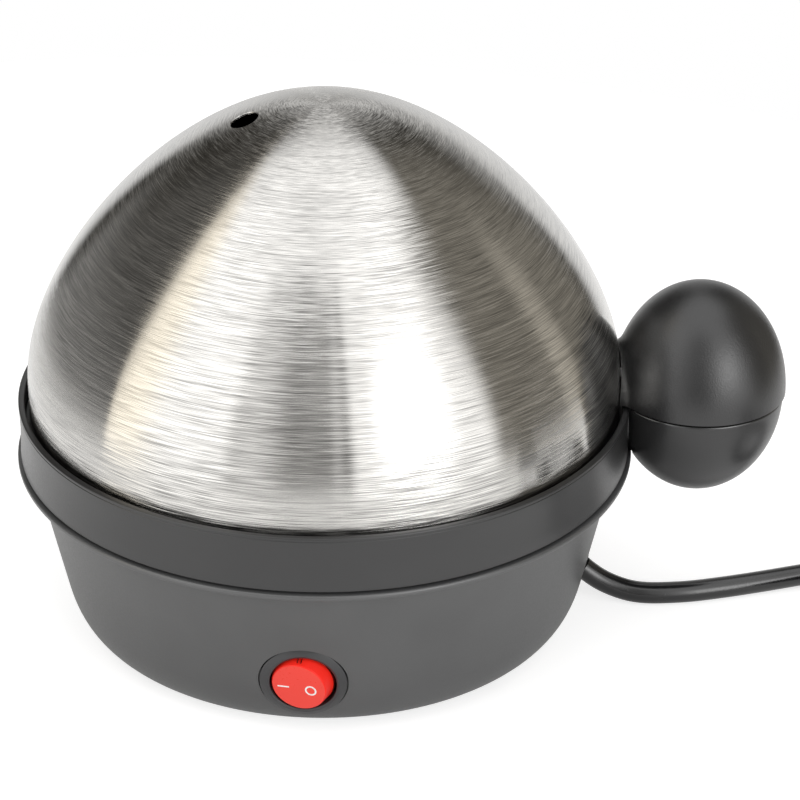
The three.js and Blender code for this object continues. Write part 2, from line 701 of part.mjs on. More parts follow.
function lidDome() {
  const skin = domeOutside();
  const lining = offset(skin, DOME_WALL);
  const inside = domeRadius - DOME_WALL;
  const shell = revolve([
    [0, skin[skin.length - 1][1] - DOME_WALL],
    ...lining.slice(0, -1).reverse(),
    [inside, hemBottom + HEM_HEIGHT],
    [domeRadius - HEM_WIDTH, hemBottom + HEM_HEIGHT],
    [domeRadius - HEM_WIDTH, hemBottom + 0.3],
    [domeRadius - HEM_WIDTH + 0.3, hemBottom],
    [domeRadius - 0.3, hemBottom],
    [domeRadius, hemBottom + 0.3],
    ...skin,
  ]);
  const [hx, hy] = polar(STEAM_HOLE_OFFSET, STEAM_HOLE_AZIMUTH);
  const rise = domeHeightAt(STEAM_HOLE_OFFSET - 1) - domeHeightAt(STEAM_HOLE_OFFSET + 1);
  const lean = THREE.MathUtils.radToDeg(Math.atan2(rise, 2));
  const drill = rod(STEAM_HOLE_RADIUS, -8, 8, 20).rotate([0, lean, STEAM_HOLE_AZIMUTH]);
  const tools = [moved(drill, hx, hy, domeHeightAt(STEAM_HOLE_OFFSET))];
  for (const y of handleScrewPlaces()) {
    const hole = rod(SCREW_SHANK + FIT, domeRadius - 8, domeRadius + 4).rotate([0, 90, 0]);
    tools.push(moved(hole, 0, y, handleScrewHeight));
  }
  return cut(shell, tools);
}

function lidHandle() {
  const outer = halfEggSolid(eggUpperRadius, EGG_UPPER_HEIGHT);
  const inner = halfEggSolid(eggUpperRadius - EGG_WALL, EGG_UPPER_HEIGHT - EGG_WALL);
  const farSide = moved(block(BEYOND, BEYOND, -1, BEYOND), eggCentre + BEYOND / 2 - eggUpperRadius / 2, 0, 0);
  const neck = saddle(SADDLE_HALF_WIDTH, SADDLE_HEIGHT, true).subtract(farSide);
  const shape = moved(outer, eggCentre, 0, 0).add(neck);
  const hollow = moved(inner, eggCentre, 0, -0.01);
  const bossEnd = domeRadius + HANDLE_BOSS_LENGTH;
  const boss = rod(SCREW_SHANK * 2.2, domeRadius, bossEnd).rotate([0, 90, 0]);
  const pilot = rod(SCREW_SHANK + FIT, domeRadius - 4, bossEnd + 2).rotate([0, 90, 0]);
  const bosses = handleScrewPlaces().map((y) => moved(boss, 0, y, HANDLE_SCREW_RISE));
  const pilots = handleScrewPlaces().map((y) => moved(pilot, 0, y, HANDLE_SCREW_RISE));
  const body = join([shape.subtract(hollow), ...bosses.map((b) => b.intersect(shape))]);
  const tools = [domeSolid(FIT), ...pilots.map((p) => moved(p, 0, 0, upperSplit))];
  return cut(moved(body, 0, 0, upperSplit), tools);
}

function washer(inner, outer, thickness) {
  return revolve(
    [
      [inner, 0],
      [outer, 0],
      [outer, thickness],
      [inner, thickness],
    ],
    SMALL_ROUND,
  );
}

// ---------------------------------------------------------------------------------------------
// Water pan, seal and heating
// ---------------------------------------------------------------------------------------------

function waterPan() {
  const floor = panFloorBottom;
  const lipTop = panFlangeBottom + PAN_WALL;
  const outside = new THREE.Path();
  outside.moveTo(panFloorRadius - PAN_CORNER, floor);
  outside.quadraticCurveTo(panFloorRadius, floor, panFloorRadius + 1, floor + PAN_CORNER);
  outside.lineTo(panTopRadius, panFlangeBottom);
  const skin = pointsOf(outside, 3);
  const lining = offset(skin, PAN_WALL).reverse();
  return revolve([
    [0, floor],
    ...skin,
    [panFlangeRadius, panFlangeBottom],
    [panFlangeRadius, lipTop],
    [lining[0][0], lipTop],
    ...lining.slice(1),
    [0, floor + PAN_WALL],
  ]);
}

function panSeal() {
  const bottom = sealSeat + FIT;
  const inner = panTopRadius + 1.8;
  return revolve([
    [inner, bottom],
    [panFlangeRadius + FIT, bottom],
    [panFlangeRadius + FIT, bottom + SEAL_THICKNESS],
    [inner, bottom + SEAL_THICKNESS],
  ]);
}

function heatingPlate() {
  const disc = rod(PLATE_RADIUS, plateBottom, plateTop, 32);
  const stud = rod(STUD_RADIUS, plateBottom - STUD_LENGTH, plateBottom + 1);
  const holes = [[-CLAMP_EAR, THERMOSTAT_PLACE], [CLAMP_EAR, THERMOSTAT_PLACE], [0, FUSE_SCREW_PLACE]];
  const tap = rod(SMALL_SHANK + FIT, plateBottom - 1, plateBottom + 3);
  const tools = holes.map(([x, y]) => moved(tap, x, y, 0));
  return cut(join([disc, stud]), tools);
}

// An open ring of tube whose two ends turn down at the back.
function heatingElement() {
  const start = Math.asin(ELEMENT_GAP / ELEMENT_RADIUS);
  const steps = 16;
  const sweep = 2 * Math.PI - 2 * start;
  const ring = Array.from({ length: steps + 1 }, (_, i) => {
    const angle = Math.PI / 2 + start + (sweep * i) / steps;
    return [ELEMENT_RADIUS * Math.cos(angle), ELEMENT_RADIUS * Math.sin(angle), elementHeight];
  });
  const turn = ELEMENT_TURN;
  const [first, last] = [ring[0], ring[steps]];
  const low = elementHeight - ELEMENT_DROP;
  const route = [
    [first[0] + turn, first[1] + 0.8, low],
    [first[0] + turn, first[1] + 0.8, elementHeight - turn],
    ...ring,
    [last[0] - turn, last[1] + 0.8, elementHeight - turn],
    [last[0] - turn, last[1] + 0.8, low],
  ];
  return tube(route, ELEMENT_TUBE, SMALL_ROUND, 34);
}

function clampBridge() {
  const strip = block(2 * (bossCircle + BRIDGE_END), BRIDGE_WIDTH, bridgeBottom, bridgeTop);
  const tools = [rod(STUD_RADIUS + FIT, bridgeBottom - 1, bridgeTop + 1)];
  for (const x of [-bossCircle, bossCircle]) {
    tools.push(moved(rod(SCREW_SHANK + FIT, bridgeBottom - 1, bridgeTop + 1), x, 0, 0));
  }
  return spun(cut(strip, tools), BRIDGE_AZIMUTH);
}

function bridgeNut() {
  const top = bridgeBottom - FIT;
  return rod(NUT_RADIUS, top - NUT_HEIGHT, top, 6).subtract(rod(STUD_RADIUS + FIT, 0, top + 1));
}

function thermostat() {
  const top = plateBottom - FIT;
  const bottom = top - THERMOSTAT_HEIGHT;
  const can = revolve(
    [
      [0, bottom],
      [THERMOSTAT_RADIUS - 1.4, bottom],
      [THERMOSTAT_RADIUS - 1.4, top - 4],
      [THERMOSTAT_RADIUS, top - 4],
      [THERMOSTAT_RADIUS, top - 0.5],
      [THERMOSTAT_RADIUS - 0.5, top],
      [0, top],
    ],
    MEDIUM_ROUND,
  );
  const blade = block(0.8, 4, bottom - 5, bottom + 1);
  return moved(join([can, moved(blade, -4, 0, 0), moved(blade, 4, 0, 0)]), 0, THERMOSTAT_PLACE, 0);
}

function thermostatClamp() {
  const top = plateBottom - FIT - 4 - FIT;
  const bottom = top - 0.8;
  const outline = [];
  for (const [x, side] of [[CLAMP_EAR, 1], [-CLAMP_EAR, -1]]) {
    for (let i = 0; i <= 6; i += 1) {
      const angle = radians(-90 * side + (180 * i) / 6);
      outline.push(new THREE.Vector2(x + 3 * Math.cos(angle), 3 * Math.sin(angle)));
    }
  }
  const strip = plate(outline, bottom, top);
  const pad = rod(THERMOSTAT_RADIUS + 1, bottom, top, MEDIUM_ROUND);
  const opening = rod(THERMOSTAT_RADIUS - 1.4 + FIT, bottom - 1, top + 1, MEDIUM_ROUND);
  const bore = rod(SMALL_SHANK + FIT, bottom - 1, top + 1);
  const holes = [-CLAMP_EAR, CLAMP_EAR].map((x) => moved(bore, x, 0, 0));
  return moved(cut(strip.add(pad), [opening, ...holes]), 0, THERMOSTAT_PLACE, 0);
}

function thermalFuse() {
  const centre = plateBottom - FIT - FUSE_RADIUS;
  const can = rod(FUSE_RADIUS, -FUSE_LENGTH / 2, FUSE_LENGTH / 2, 10).rotate([0, 90, 0]);
  const leads = rod(0.6, -FUSE_LENGTH / 2 - 5, FUSE_LENGTH / 2 + 5, 6).rotate([0, 90, 0]);
  return moved(can.add(leads), 0, FUSE_PLACE, centre);
}

// A saddle clip bent over the fuse, with one ear for its screw.
function fuseClamp() {
  const sheet = 0.6;
  const inner = FUSE_RADIUS + FIT;
  const outer = inner + sheet;
  const top = FUSE_RADIUS;
  const ear = FUSE_PLACE - FUSE_SCREW_PLACE + 2.6;
  const shape = new THREE.Shape();
  shape.moveTo(-inner, top);
  shape.lineTo(-outer, top);
  shape.lineTo(-outer, 0);
  shape.absarc(0, 0, outer, Math.PI, 2 * Math.PI, false);
  shape.lineTo(outer, top - sheet);
  shape.lineTo(ear, top - sheet);
  shape.lineTo(ear, top);
  shape.lineTo(inner, top);
  shape.lineTo(inner, 0);
  shape.absarc(0, 0, inner, 2 * Math.PI, Math.PI, true);
  const width = 5.2;
  const geometry = new THREE.ExtrudeGeometry(shape, { depth: width, bevelEnabled: false, curveSegments: 6 });
  const down = new THREE.Vector3(0, -1, 0);
  const up = new THREE.Vector3(0, 0, 1);
  geometry.applyMatrix4(new THREE.Matrix4().makeBasis(down, up, new THREE.Vector3(-1, 0, 0)));
  geometry.translate(width / 2, FUSE_PLACE, plateBottom - FIT - FUSE_RADIUS);
  const hole = rod(SMALL_SHANK + FIT, 0, plateBottom);
  return solid(geometry).subtract(moved(hole, 0, FUSE_SCREW_PLACE, 0));
}

// ---------------------------------------------------------------------------------------------
// Egg rack
// ---------------------------------------------------------------------------------------------

function eggRack() {
  const holes = [];
  const lips = [];
  for (let i = 0; i < RACK_EGGS; i += 1) {
    const [x, y] = polar(rackEggCircle, 90 + (i * 360) / RACK_EGGS);
    holes.push(new THREE.Path(circle(RACK_HOLE_RADIUS, MEDIUM_ROUND, x, y)));
    const lip = revolve(
      [
        [RACK_HOLE_RADIUS, rackPlateHeight - RACK_LIP_DEPTH],
        [RACK_HOLE_RADIUS + RACK_SHEET, rackPlateHeight - RACK_LIP_DEPTH],
        [RACK_HOLE_RADIUS + RACK_SHEET, rackPlateHeight + RACK_SHEET / 2],
        [RACK_HOLE_RADIUS, rackPlateHeight + RACK_SHEET / 2],
      ],
      MEDIUM_ROUND,
    );
    lips.push(moved(lip, x, y, 0));
  }
  for (let i = 0; i < RACK_STEAM_HOLES; i += 1) {
    const [x, y] = polar(rackSteamCircle, 90 + ((i + 0.5) * 360) / RACK_STEAM_HOLES);
    holes.push(new THREE.Path(circle(RACK_STEAM_RADIUS, SMALL_ROUND, x, y)));
  }
  holes.push(new THREE.Path(circle(STEM_RADIUS * 0.6 + FIT, SMALL_ROUND)));
  const disc = plate(circle(rackRadius, ROUND), rackPlateHeight, rackTop, holes);
  const bottom = ledgeHeight + FIT;
  const skirtFoot = rackRadius + RACK_FLARE;
  const skirt = revolve([
    [skirtFoot - RACK_SHEET, bottom],
    [rackFootRadius, bottom],
    [rackFootRadius, bottom + RACK_SHEET],
    [skirtFoot, bottom + RACK_SHEET],
    [rackRadius, rackTop],
    [rackRadius - RACK_SHEET, rackTop],
  ]);
  return join([disc, skirt, ...lips]);
}

function rackHandle() {
  const foot = rackTop + FIT;
  const neck = foot + STEM_HEIGHT;
  const knob = halfEgg(KNOB_RADIUS, KNOB_HEIGHT * 0.5, 4).slice(0, -1);
  const middle = neck + KNOB_HEIGHT / 2;
  return revolve(
    [
      [0, rackPlateHeight - 5],
      [STEM_RADIUS * 0.6, rackPlateHeight - 5],
      [STEM_RADIUS * 0.6, foot],
      [STEM_RADIUS * 2.2, foot],
      [STEM_RADIUS * 2.2, foot + 1.5],
      [STEM_RADIUS, foot + 4],
      [STEM_RADIUS * 0.85, neck],
      ...knob.slice(1).reverse().map(([r, z]) => [r, middle - z]),
      ...knob.map(([r, z]) => [r, middle + z]),
      [0, middle + KNOB_HEIGHT / 2],
    ],
    MEDIUM_ROUND,
  );
}

function rackNut() {
  const top = rackPlateHeight - FIT;
  return rod(STEM_RADIUS * 1.5, top - 3, top, 6).subtract(rod(STEM_RADIUS * 0.6 + FIT, top - 9, top + 1));
}

// ---------------------------------------------------------------------------------------------
// Rocker switch, drawn with +Z out of the bezel, +Y up and +X to the right
// ---------------------------------------------------------------------------------------------

function switchBody() {
  const round = 20;
  const shell = revolve(
    [
      [0, -BARREL_DEPTH],
      [BARREL_RADIUS, -BARREL_DEPTH],
      [BARREL_RADIUS, -BEZEL_EDGE],
      [BEZEL_RADIUS, -BEZEL_EDGE],
      [BEZEL_RADIUS, -0.35],
      [BEZEL_RADIUS - 0.35, 0],
      [ROCKER_WELL_RADIUS + 0.6, BEZEL_RISE],
      [ROCKER_WELL_RADIUS, BEZEL_RISE - 0.3],
      [ROCKER_WELL_RADIUS, -ROCKER_WELL_DEPTH],
      [0, -ROCKER_WELL_DEPTH],
    ],
    round,
  );
  const boxBottom = -BARREL_DEPTH - SWITCH_BOX_DEPTH;
  const box = block(SWITCH_BOX_WIDTH, SWITCH_BOX_HEIGHT, boxBottom, -BARREL_DEPTH + 1);
  const sockets = rod(1.1 + FIT, -BARREL_RADIUS - 1, BARREL_RADIUS + 1).rotate([90, 0, 0]);
  const tabs = [-1, 1].map((side) => moved(snapTab(side), side * (BARREL_RADIUS - 0.4), 0, 0));
  return join([shell, box, ...tabs]).subtract(moved(sockets, 0, 0, ROCKER_PIVOT));
}

// A wedge that springs out behind the wall.
function snapTab(side) {
  const catchDepth = switchSeat - BOWL_WALL - FIT;
  const shape = new THREE.Shape();
  shape.moveTo(0, catchDepth);
  shape.lineTo(side * 1.3, catchDepth);
  shape.lineTo(0, catchDepth - 4);
  const geometry = new THREE.ExtrudeGeometry(shape, { depth: 5, bevelEnabled: false });
  geometry.rotateX(Math.PI / 2);
  geometry.translate(0, 2.5, 0);
  return solid(geometry);
}

// The rocker about its pivot, level: a cone-sided button trimmed round below.
function rockerLevel() {
  const cone = revolve(
    [
      [0, -3.6],
      [ROCKER_RADIUS - 0.9, -3.6],
      [ROCKER_RADIUS, -0.8],
      [ROCKER_RADIUS, 0.6],
      [ROCKER_FACE_RADIUS + 0.25, ROCKER_RISE - 0.35],
      [ROCKER_FACE_RADIUS, ROCKER_RISE],
      [0, ROCKER_RISE - 0.3],
    ],
    20,
  );
  const pins = rod(1.1, -BARREL_RADIUS + FIT, BARREL_RADIUS - FIT).rotate([90, 0, 0]);
  return cone.add(pins);
}

// ---------------------------------------------------------------------------------------------
// Strain relief, lead, coil and plug
// ---------------------------------------------------------------------------------------------

// The bush that grips the cord in the bowl's wall; its outer face is at the frame's origin.
function strainRelief() {
  const catchRing = reliefSeat - RELIEF_GRIP;
  return revolve(
    [
      [0, -RELIEF_LENGTH],
      [CORD_RADIUS + 0.8, -RELIEF_LENGTH],
      [RELIEF_NECK, catchRing - 3],
      [RELIEF_RADIUS + 0.8, catchRing - 2],
      [RELIEF_RADIUS + 0.8, catchRing],
      [RELIEF_NECK, catchRing],
      [RELIEF_NECK, reliefSeat],
      [RELIEF_RADIUS, reliefSeat],
      [RELIEF_RADIUS - 1, 0],
      [0, 0],
    ],
    16,
  ).rotate([0, 90, 0]);
}

// A point on the exit's axis, ahead of it or behind it, and to its side.
function onExit(ahead, sideways) {
  return new THREE.Vector3(ahead, sideways, 0).applyMatrix4(exitFrame()).toArray();
}

const CORD_ROUTE = [
  [74.13, 0.18, 10.71],
  [75.5, 0.1, 9.5],
  [79.3, -0.3, 6.8],
  [83.6, -0.8, 4.81],
  [88.1, -1.4, 3.59],
  [92.8, -1.9, 3.2],
  [104, -1.2, 3.2],
  [114.9, 1.3, 3.2],
  [127, 4.9, 3.2],
  [138.9, 8.8, 3.2],
  [150, 12.1, 3.2],
  [160.4, 14.5, 3.2],
];

const PLUG_LEAD_ROUTE = [
  [226.6, -31, 12.2],
  [227.9, -36, 15],
  [228.7, -40.5, 17.5],
  [229, -44.5, 18.8],
  [229, -47.6, 19.05],
];

function cordCoil() {
  const half = COIL_THICKNESS / 2;
  const bevel = CORD_RADIUS * 0.6;
  const inner = COIL_RADIUS - half;
  const outer = COIL_RADIUS + half;
  return revolve(
    [
      [inner + bevel, 0.05],
      [outer - bevel, 0.05],
      [outer, bevel],
      [outer, COIL_THICKNESS - bevel],
      [outer - bevel, COIL_THICKNESS],
      [inner + bevel, COIL_THICKNESS],
      [inner, COIL_THICKNESS - bevel],
      [inner, bevel],
    ],
    24,
  );
}

// Earthed plug along +X, its cord end at the origin and its pins at the far end.
function plugBody() {
  const body = revolve(
    [
      [0, 0],
      [CORD_RADIUS + 1, 0],
      [CORD_RADIUS + 2.2, PLUG_NOSE * 0.8],
      [PLUG_RADIUS - 4, PLUG_NOSE + 3],
      [PLUG_RADIUS - 0.6, PLUG_NOSE + 12],
      [PLUG_RADIUS, PLUG_NOSE + PLUG_LENGTH - 1],
      [PLUG_RADIUS - 1, PLUG_NOSE + PLUG_LENGTH],
      [0, PLUG_NOSE + PLUG_LENGTH],
    ],
    18,
  ).rotate([0, 90, 0]);
  const end = PLUG_NOSE + PLUG_LENGTH;
  const flats = [-1, 1].map((side) => {
    const groove = block(PLUG_GRIP_LENGTH, PLUG_GRIP_WIDTH, -PLUG_GRIP_DEPTH, PLUG_GRIP_DEPTH);
    return moved(groove, end - 9, 0, side * (PLUG_RADIUS + 0.6));
  });
  const sockets = [-1, 1].map((side) => {
    const hole = rod(PIN_RADIUS + FIT, end - 6, end + 1).rotate([0, 90, 0]);
    return moved(hole, 0, (side * PIN_SPACING) / 2, 0);
  });
  return cut(body, [...flats, ...sockets]);
}

function plugPin() {
  const tip = PIN_LENGTH;
  return revolve(
    [
      [0, -6 + FIT],
      [PIN_RADIUS, -6 + FIT],
      [PIN_RADIUS, tip - 1.5],
      [PIN_RADIUS - 1, tip],
      [0, tip],
    ],
    SMALL_ROUND,
  ).rotate([0, 90, 0]);
}

// ---------------------------------------------------------------------------------------------
// Assembly
// ---------------------------------------------------------------------------------------------

function buildBase() {
  add("base_bowl", baseBowl(), MOULDING);
  add("bottom_cover", bottomCover(), MOULDING);
  for (let i = 0; i < FOOT_COUNT; i += 1) {
    const [x, y] = polar(footCircle, 45 + (i * 360) / FOOT_COUNT);
    add(`foot_${i + 1}`, foot(), RUBBER).position.set(x, y, 0);
  }
  for (let i = 0; i < COVER_SCREWS; i += 1) {
    const [x, y] = polar(coverScrewCircle, coverScrewAngle(i));
    const under = coverBottom + COVER_COUNTERBORE - FIT;
    const fixing = add(`cover_screw_${i + 1}`, screw(bowlFloorTop - under, SMALL_SHANK), PLAIN_STEEL);
    fixing.position.set(x, y, under);
  }
  for (let i = 0; i < COLLAR_SCREWS; i += 1) {
    const [x, y] = polar(bossCircle, 45 + (i * 360) / COLLAR_SCREWS);
    const under = BOSS_BOTTOM - FIT - WELL_WEB - FIT;
    const fixing = add(`collar_screw_${i + 1}`, screw(WELL_WEB + SCREW_BITE), PLAIN_STEEL);
    fixing.position.set(x, y, under);
  }
}

function buildCollar() {
  add("collar_ring", collarRing(), MOULDING);
  const top = lowerSplit - HANDLE_COVER_THICKNESS - 0.2;
  add("collar_handle_cover", splitCover(EGG_LOWER_RADIUS, top, COLLAR_RADIUS), MOULDING);
}

function buildLid() {
  const lid = new THREE.Group();
  cooker.add(lid);
  add("lid_dome", lidDome(), BRUSHED_STEEL, lid);
  add("lid_handle", lidHandle(), MOULDING, lid);
  add("lid_handle_cover", splitCover(eggUpperRadius, upperSplit + 0.2, domeRadius + 1.5), MOULDING, lid);
  const lining = domeRadiusAt(handleScrewHeight + WASHER_RADIUS) - DOME_WALL;
  const slope = Math.tan(Math.PI / ROUND); // of the dome's facet that the washers lie on
  handleScrewPlaces().forEach((y, i) => {
    const seat = lining - slope * (Math.abs(y) + WASHER_RADIUS) - FIT;
    const ring = washer(SCREW_SHANK + FIT, WASHER_RADIUS, WASHER_THICKNESS);
    const seal = add(`lid_washer_${i + 1}`, ring, SILICONE, lid);
    seal.position.set(seat, y, handleScrewHeight);
    seal.rotation.y = -Math.PI / 2;
    const fixing = add(`lid_screw_${i + 1}`, screw(HANDLE_BOSS_LENGTH, SCREW_SHANK), PLAIN_STEEL, lid);
    fixing.position.set(seat - WASHER_THICKNESS - FIT, y, handleScrewHeight);
    fixing.rotation.y = Math.PI / 2;
  });
}

function buildHeating() {
  add("pan_seal", panSeal(), SILICONE);
  add("water_pan", waterPan(), BRUSHED_STEEL);
  add("heating_plate", heatingPlate(), ALUMINIUM);
  add("heating_element", heatingElement(), PLAIN_STEEL);
  add("clamp_bridge", clampBridge(), PLAIN_STEEL);
  add("bridge_nut", bridgeNut(), PLAIN_STEEL);
  bridgePosts.forEach(([x, y], i) => {
    add(`bridge_screw_${i + 1}`, screw(9), PLAIN_STEEL).position.set(x, y, bridgeBottom - FIT);
  });
  add("thermostat", thermostat(), CERAMIC);
  add("thermostat_clamp", thermostatClamp(), PLAIN_STEEL);
  const clampUnder = plateBottom - FIT - 4 - FIT - 0.8 - FIT;
  [-CLAMP_EAR, CLAMP_EAR].forEach((x, i) => {
    const fixing = add(`thermostat_screw_${i + 1}`, screw(CLAMP_SCREW_LENGTH, SMALL_SHANK), PLAIN_STEEL);
    fixing.position.set(x, THERMOSTAT_PLACE, clampUnder);
  });
  add("thermal_fuse", thermalFuse(), PLAIN_STEEL);
  add("fuse_clamp", fuseClamp(), PLAIN_STEEL);
  const fuseClampUnder = plateBottom - FIT - 0.6 - FIT;
  add("fuse_screw", screw(3.2, SMALL_SHANK), PLAIN_STEEL).position.set(0, FUSE_SCREW_PLACE, fuseClampUnder);
}

// The insulated wires between the lead, the switch and the heating parts.
function buildWires() {
  const blade = plateBottom - FIT - THERMOSTAT_HEIGHT - 5 - FIT;
  const fuse = plateBottom - FIT - FUSE_RADIUS;
  const elementEnd = elementHeight - ELEMENT_DROP - FIT;
  const legX = ELEMENT_GAP - ELEMENT_TURN;
  const legY = ELEMENT_RADIUS * Math.cos(Math.asin(ELEMENT_GAP / ELEMENT_RADIUS)) + 0.8;
  const tip = new THREE.Vector3(0, 0, -BARREL_DEPTH - SWITCH_BOX_DEPTH - 8 - FIT);
  const spade = (side) => {
    const end = tip.clone().setX((side * TERMINAL_SPACING) / 2).applyMatrix4(switchFrame());
    return end.toArray();
  };
  const behind = (side, distance) => {
    const end = tip.clone().setX((side * TERMINAL_SPACING) / 2).setZ(tip.z - distance);
    return end.applyMatrix4(switchFrame()).toArray();
  };
  const inlet = (sideways) => [onExit(-RELIEF_LENGTH - FIT, sideways), onExit(-RELIEF_LENGTH - 5, sideways)];
  const routes = {
    wire_live: [...inlet(-2.4), [44, -16, 19], [28, -27, 14], [10, -33, 18], behind(1, 7), spade(1)],
    wire_switched: [
      spade(-1),
      behind(-1, 7),
      [-11, -18, 15],
      [-14, 0, 12],
      [-10, 12, 12],
      [-4, THERMOSTAT_PLACE, 15],
      [-4, THERMOSTAT_PLACE, blade],
    ],
    wire_link: [
      [4, THERMOSTAT_PLACE, blade],
      [4, THERMOSTAT_PLACE, 15],
      [10, 8, 11],
      [13, -4, 13],
      [16, -13, 22],
      [15.5, FUSE_PLACE, 31],
      [FUSE_LENGTH / 2 + 5 + FIT, FUSE_PLACE, fuse],
    ],
    wire_fuse: [
      [-FUSE_LENGTH / 2 - 5 - 2 * FIT, FUSE_PLACE, fuse],
      [-15.5, -16.5, 31],
      [-17, -17, 23],
      [-20, -6, 17],
      [-21, 6, 14],
      [-20, 18, 13],
      [-12, 27, 12],
      [-legX, legY, 16],
      [-legX, legY, elementEnd],
    ],
    wire_neutral: [
      ...inlet(0),
      [44, 3, 20],
      [28, 20, 12],
      [12, 28, 12],
      [legX, legY, 16],
      [legX, legY, elementEnd],
    ],
    wire_earth: [...inlet(2.4), [47, 10, 24], [43, 14, bridgeBottom - FIT - 0.8]],
  };
  const colors = {
    wire_live: 0x6b3f22,
    wire_switched: 0x1b1b1b,
    wire_link: 0x1b1b1b,
    wire_fuse: 0x1b1b1b,
    wire_neutral: 0x2d5fa8,
    wire_earth: 0x7fae2e,
  };
  for (const [name, route] of Object.entries(routes)) {
    add(name, tube(route, WIRE_RADIUS, WIRE_SIDES, WIRE_STEPS), [colors[name], 0.5, 0]);
  }
}

function buildRack() {
  add("egg_rack", eggRack(), PLAIN_STEEL);
  add("rack_handle", rackHandle(), MOULDING);
  add("rack_nut", rackNut(), PLAIN_STEEL);
}

function buildSwitch() {
  const group = new THREE.Group();
  group.applyMatrix4(switchFrame());
  cooker.add(group);
  add("switch_body", switchBody(), MOULDING, group);
  const rocker = add("switch_rocker", rockerLevel(), RED, group);
  rocker.position.z = ROCKER_PIVOT;
  rocker.rotation.y = -radians(ROCKER_TILT);
  [-1, 1].forEach((side, i) => {
    const blade = block(0.8, 4.8, -8, -FIT);
    const terminal = add(`switch_terminal_${i + 1}`, blade, BRASS, group);
    terminal.position.set((side * TERMINAL_SPACING) / 2, 0, -BARREL_DEPTH - SWITCH_BOX_DEPTH);
  });
}

function buildLead() {
  const relief = add("strain_relief", strainRelief(), RUBBER);
  relief.applyMatrix4(exitFrame());
  add("power_cord", tube(CORD_ROUTE, CORD_RADIUS, CORD_SIDES, 32), CORD);
  add("cord_coil", cordCoil(), CORD).position.set(COIL_X, COIL_Y, 0);
  add("plug_lead", tube(PLUG_LEAD_ROUTE, CORD_RADIUS, CORD_SIDES, 6), CORD);
  const plug = new THREE.Group();
  plug.position.set(PLUG_X, PLUG_Y, PLUG_RADIUS + 0.05);
  plug.rotation.z = -Math.PI / 2;
  cooker.add(plug);
  add("cord_plug", plugBody(), RUBBER, plug);
  [-1, 1].forEach((side, i) => {
    const pin = add(`plug_pin_${i + 1}`, plugPin(), BRASS, plug);
    pin.position.set(PLUG_NOSE + PLUG_LENGTH, (side * PIN_SPACING) / 2, 0);
  });
}

buildBase();
buildCollar();
buildLid();
buildHeating();
buildWires();
buildRack();
buildSwitch();
buildLead();

const assembly = new THREE.Group();
assembly.add(cooker);

export default assembly;
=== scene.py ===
"""Looks of the egg cooker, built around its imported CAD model."""

import math

import bmesh
import bpy
from mathutils import Matrix, Vector


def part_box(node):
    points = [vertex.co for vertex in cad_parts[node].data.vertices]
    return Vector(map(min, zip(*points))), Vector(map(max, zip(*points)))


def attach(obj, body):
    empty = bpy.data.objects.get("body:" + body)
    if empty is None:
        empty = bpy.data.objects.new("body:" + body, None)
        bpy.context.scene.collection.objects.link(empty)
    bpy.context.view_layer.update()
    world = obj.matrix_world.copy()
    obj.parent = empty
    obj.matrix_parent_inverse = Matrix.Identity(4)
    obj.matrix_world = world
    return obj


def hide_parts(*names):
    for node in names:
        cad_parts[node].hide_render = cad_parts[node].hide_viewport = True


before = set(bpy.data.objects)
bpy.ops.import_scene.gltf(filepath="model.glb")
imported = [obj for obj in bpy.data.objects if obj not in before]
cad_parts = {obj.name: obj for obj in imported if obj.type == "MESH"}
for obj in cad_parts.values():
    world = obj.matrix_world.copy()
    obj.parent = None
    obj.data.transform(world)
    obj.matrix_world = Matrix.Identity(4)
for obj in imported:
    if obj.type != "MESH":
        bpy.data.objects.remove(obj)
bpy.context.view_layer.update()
scene = bpy.context.scene
MM = 0.001

# The housing's vertical axis in the frame; every place below is in millimetres from it.
bowl_low, bowl_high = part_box("base_bowl")
AXIS = (bowl_low.x + bowl_high.x) / 2
ON_AXIS = Matrix.Translation((AXIS, 0, 0))


def place(x, y, z):
    return Vector((x * MM + AXIS, y * MM, z * MM))


def at(x, y, z=0):
    return Matrix.Translation(place(x, y, z))


def shift(x, y, z):
    return Matrix.Translation((x * MM, y * MM, z * MM))


def turn(degrees, axis):
    return Matrix.Rotation(math.radians(degrees), 4, axis)


def polar(radius, degrees):
    return radius * math.cos(math.radians(degrees)), radius * math.sin(math.radians(degrees))


# ----------------------------------------------------------------------------------------------
# Camera
# ----------------------------------------------------------------------------------------------

CAMERA_PLACE = (21.071, -748.396, 456.584)
CAMERA_PITCH = 27.647  # degrees below the level
CAMERA_ROLL = 0.483
CAMERA_LENS = 135.26
CAMERA_SENSOR = 36
CAMERA_CLIP = 0.01  # metres

camera_data = bpy.data.cameras.new("camera")
camera_data.lens = CAMERA_LENS
camera_data.sensor_width = CAMERA_SENSOR
camera_data.clip_start = CAMERA_CLIP
camera = bpy.data.objects.new("camera", camera_data)
scene.collection.objects.link(camera)
camera.matrix_world = at(*CAMERA_PLACE) @ turn(90 - CAMERA_PITCH, "X") @ turn(CAMERA_ROLL, "Z")
scene.camera = camera


# ----------------------------------------------------------------------------------------------
# Mesh helpers
# ----------------------------------------------------------------------------------------------

MERGE = 1e-7  # metres: vertices closer than this become one
NO_RADIUS = 1e-5  # an outline's point with less than this is on the axis
FILLET_SHARE = 0.49  # how much of a side a fillet may use at each end
FILLET_STEPS = 5


def link(name, data, matrix=ON_AXIS):
    obj = bpy.data.objects.new(name, data)
    scene.collection.objects.link(obj)
    obj.matrix_world = matrix
    return obj


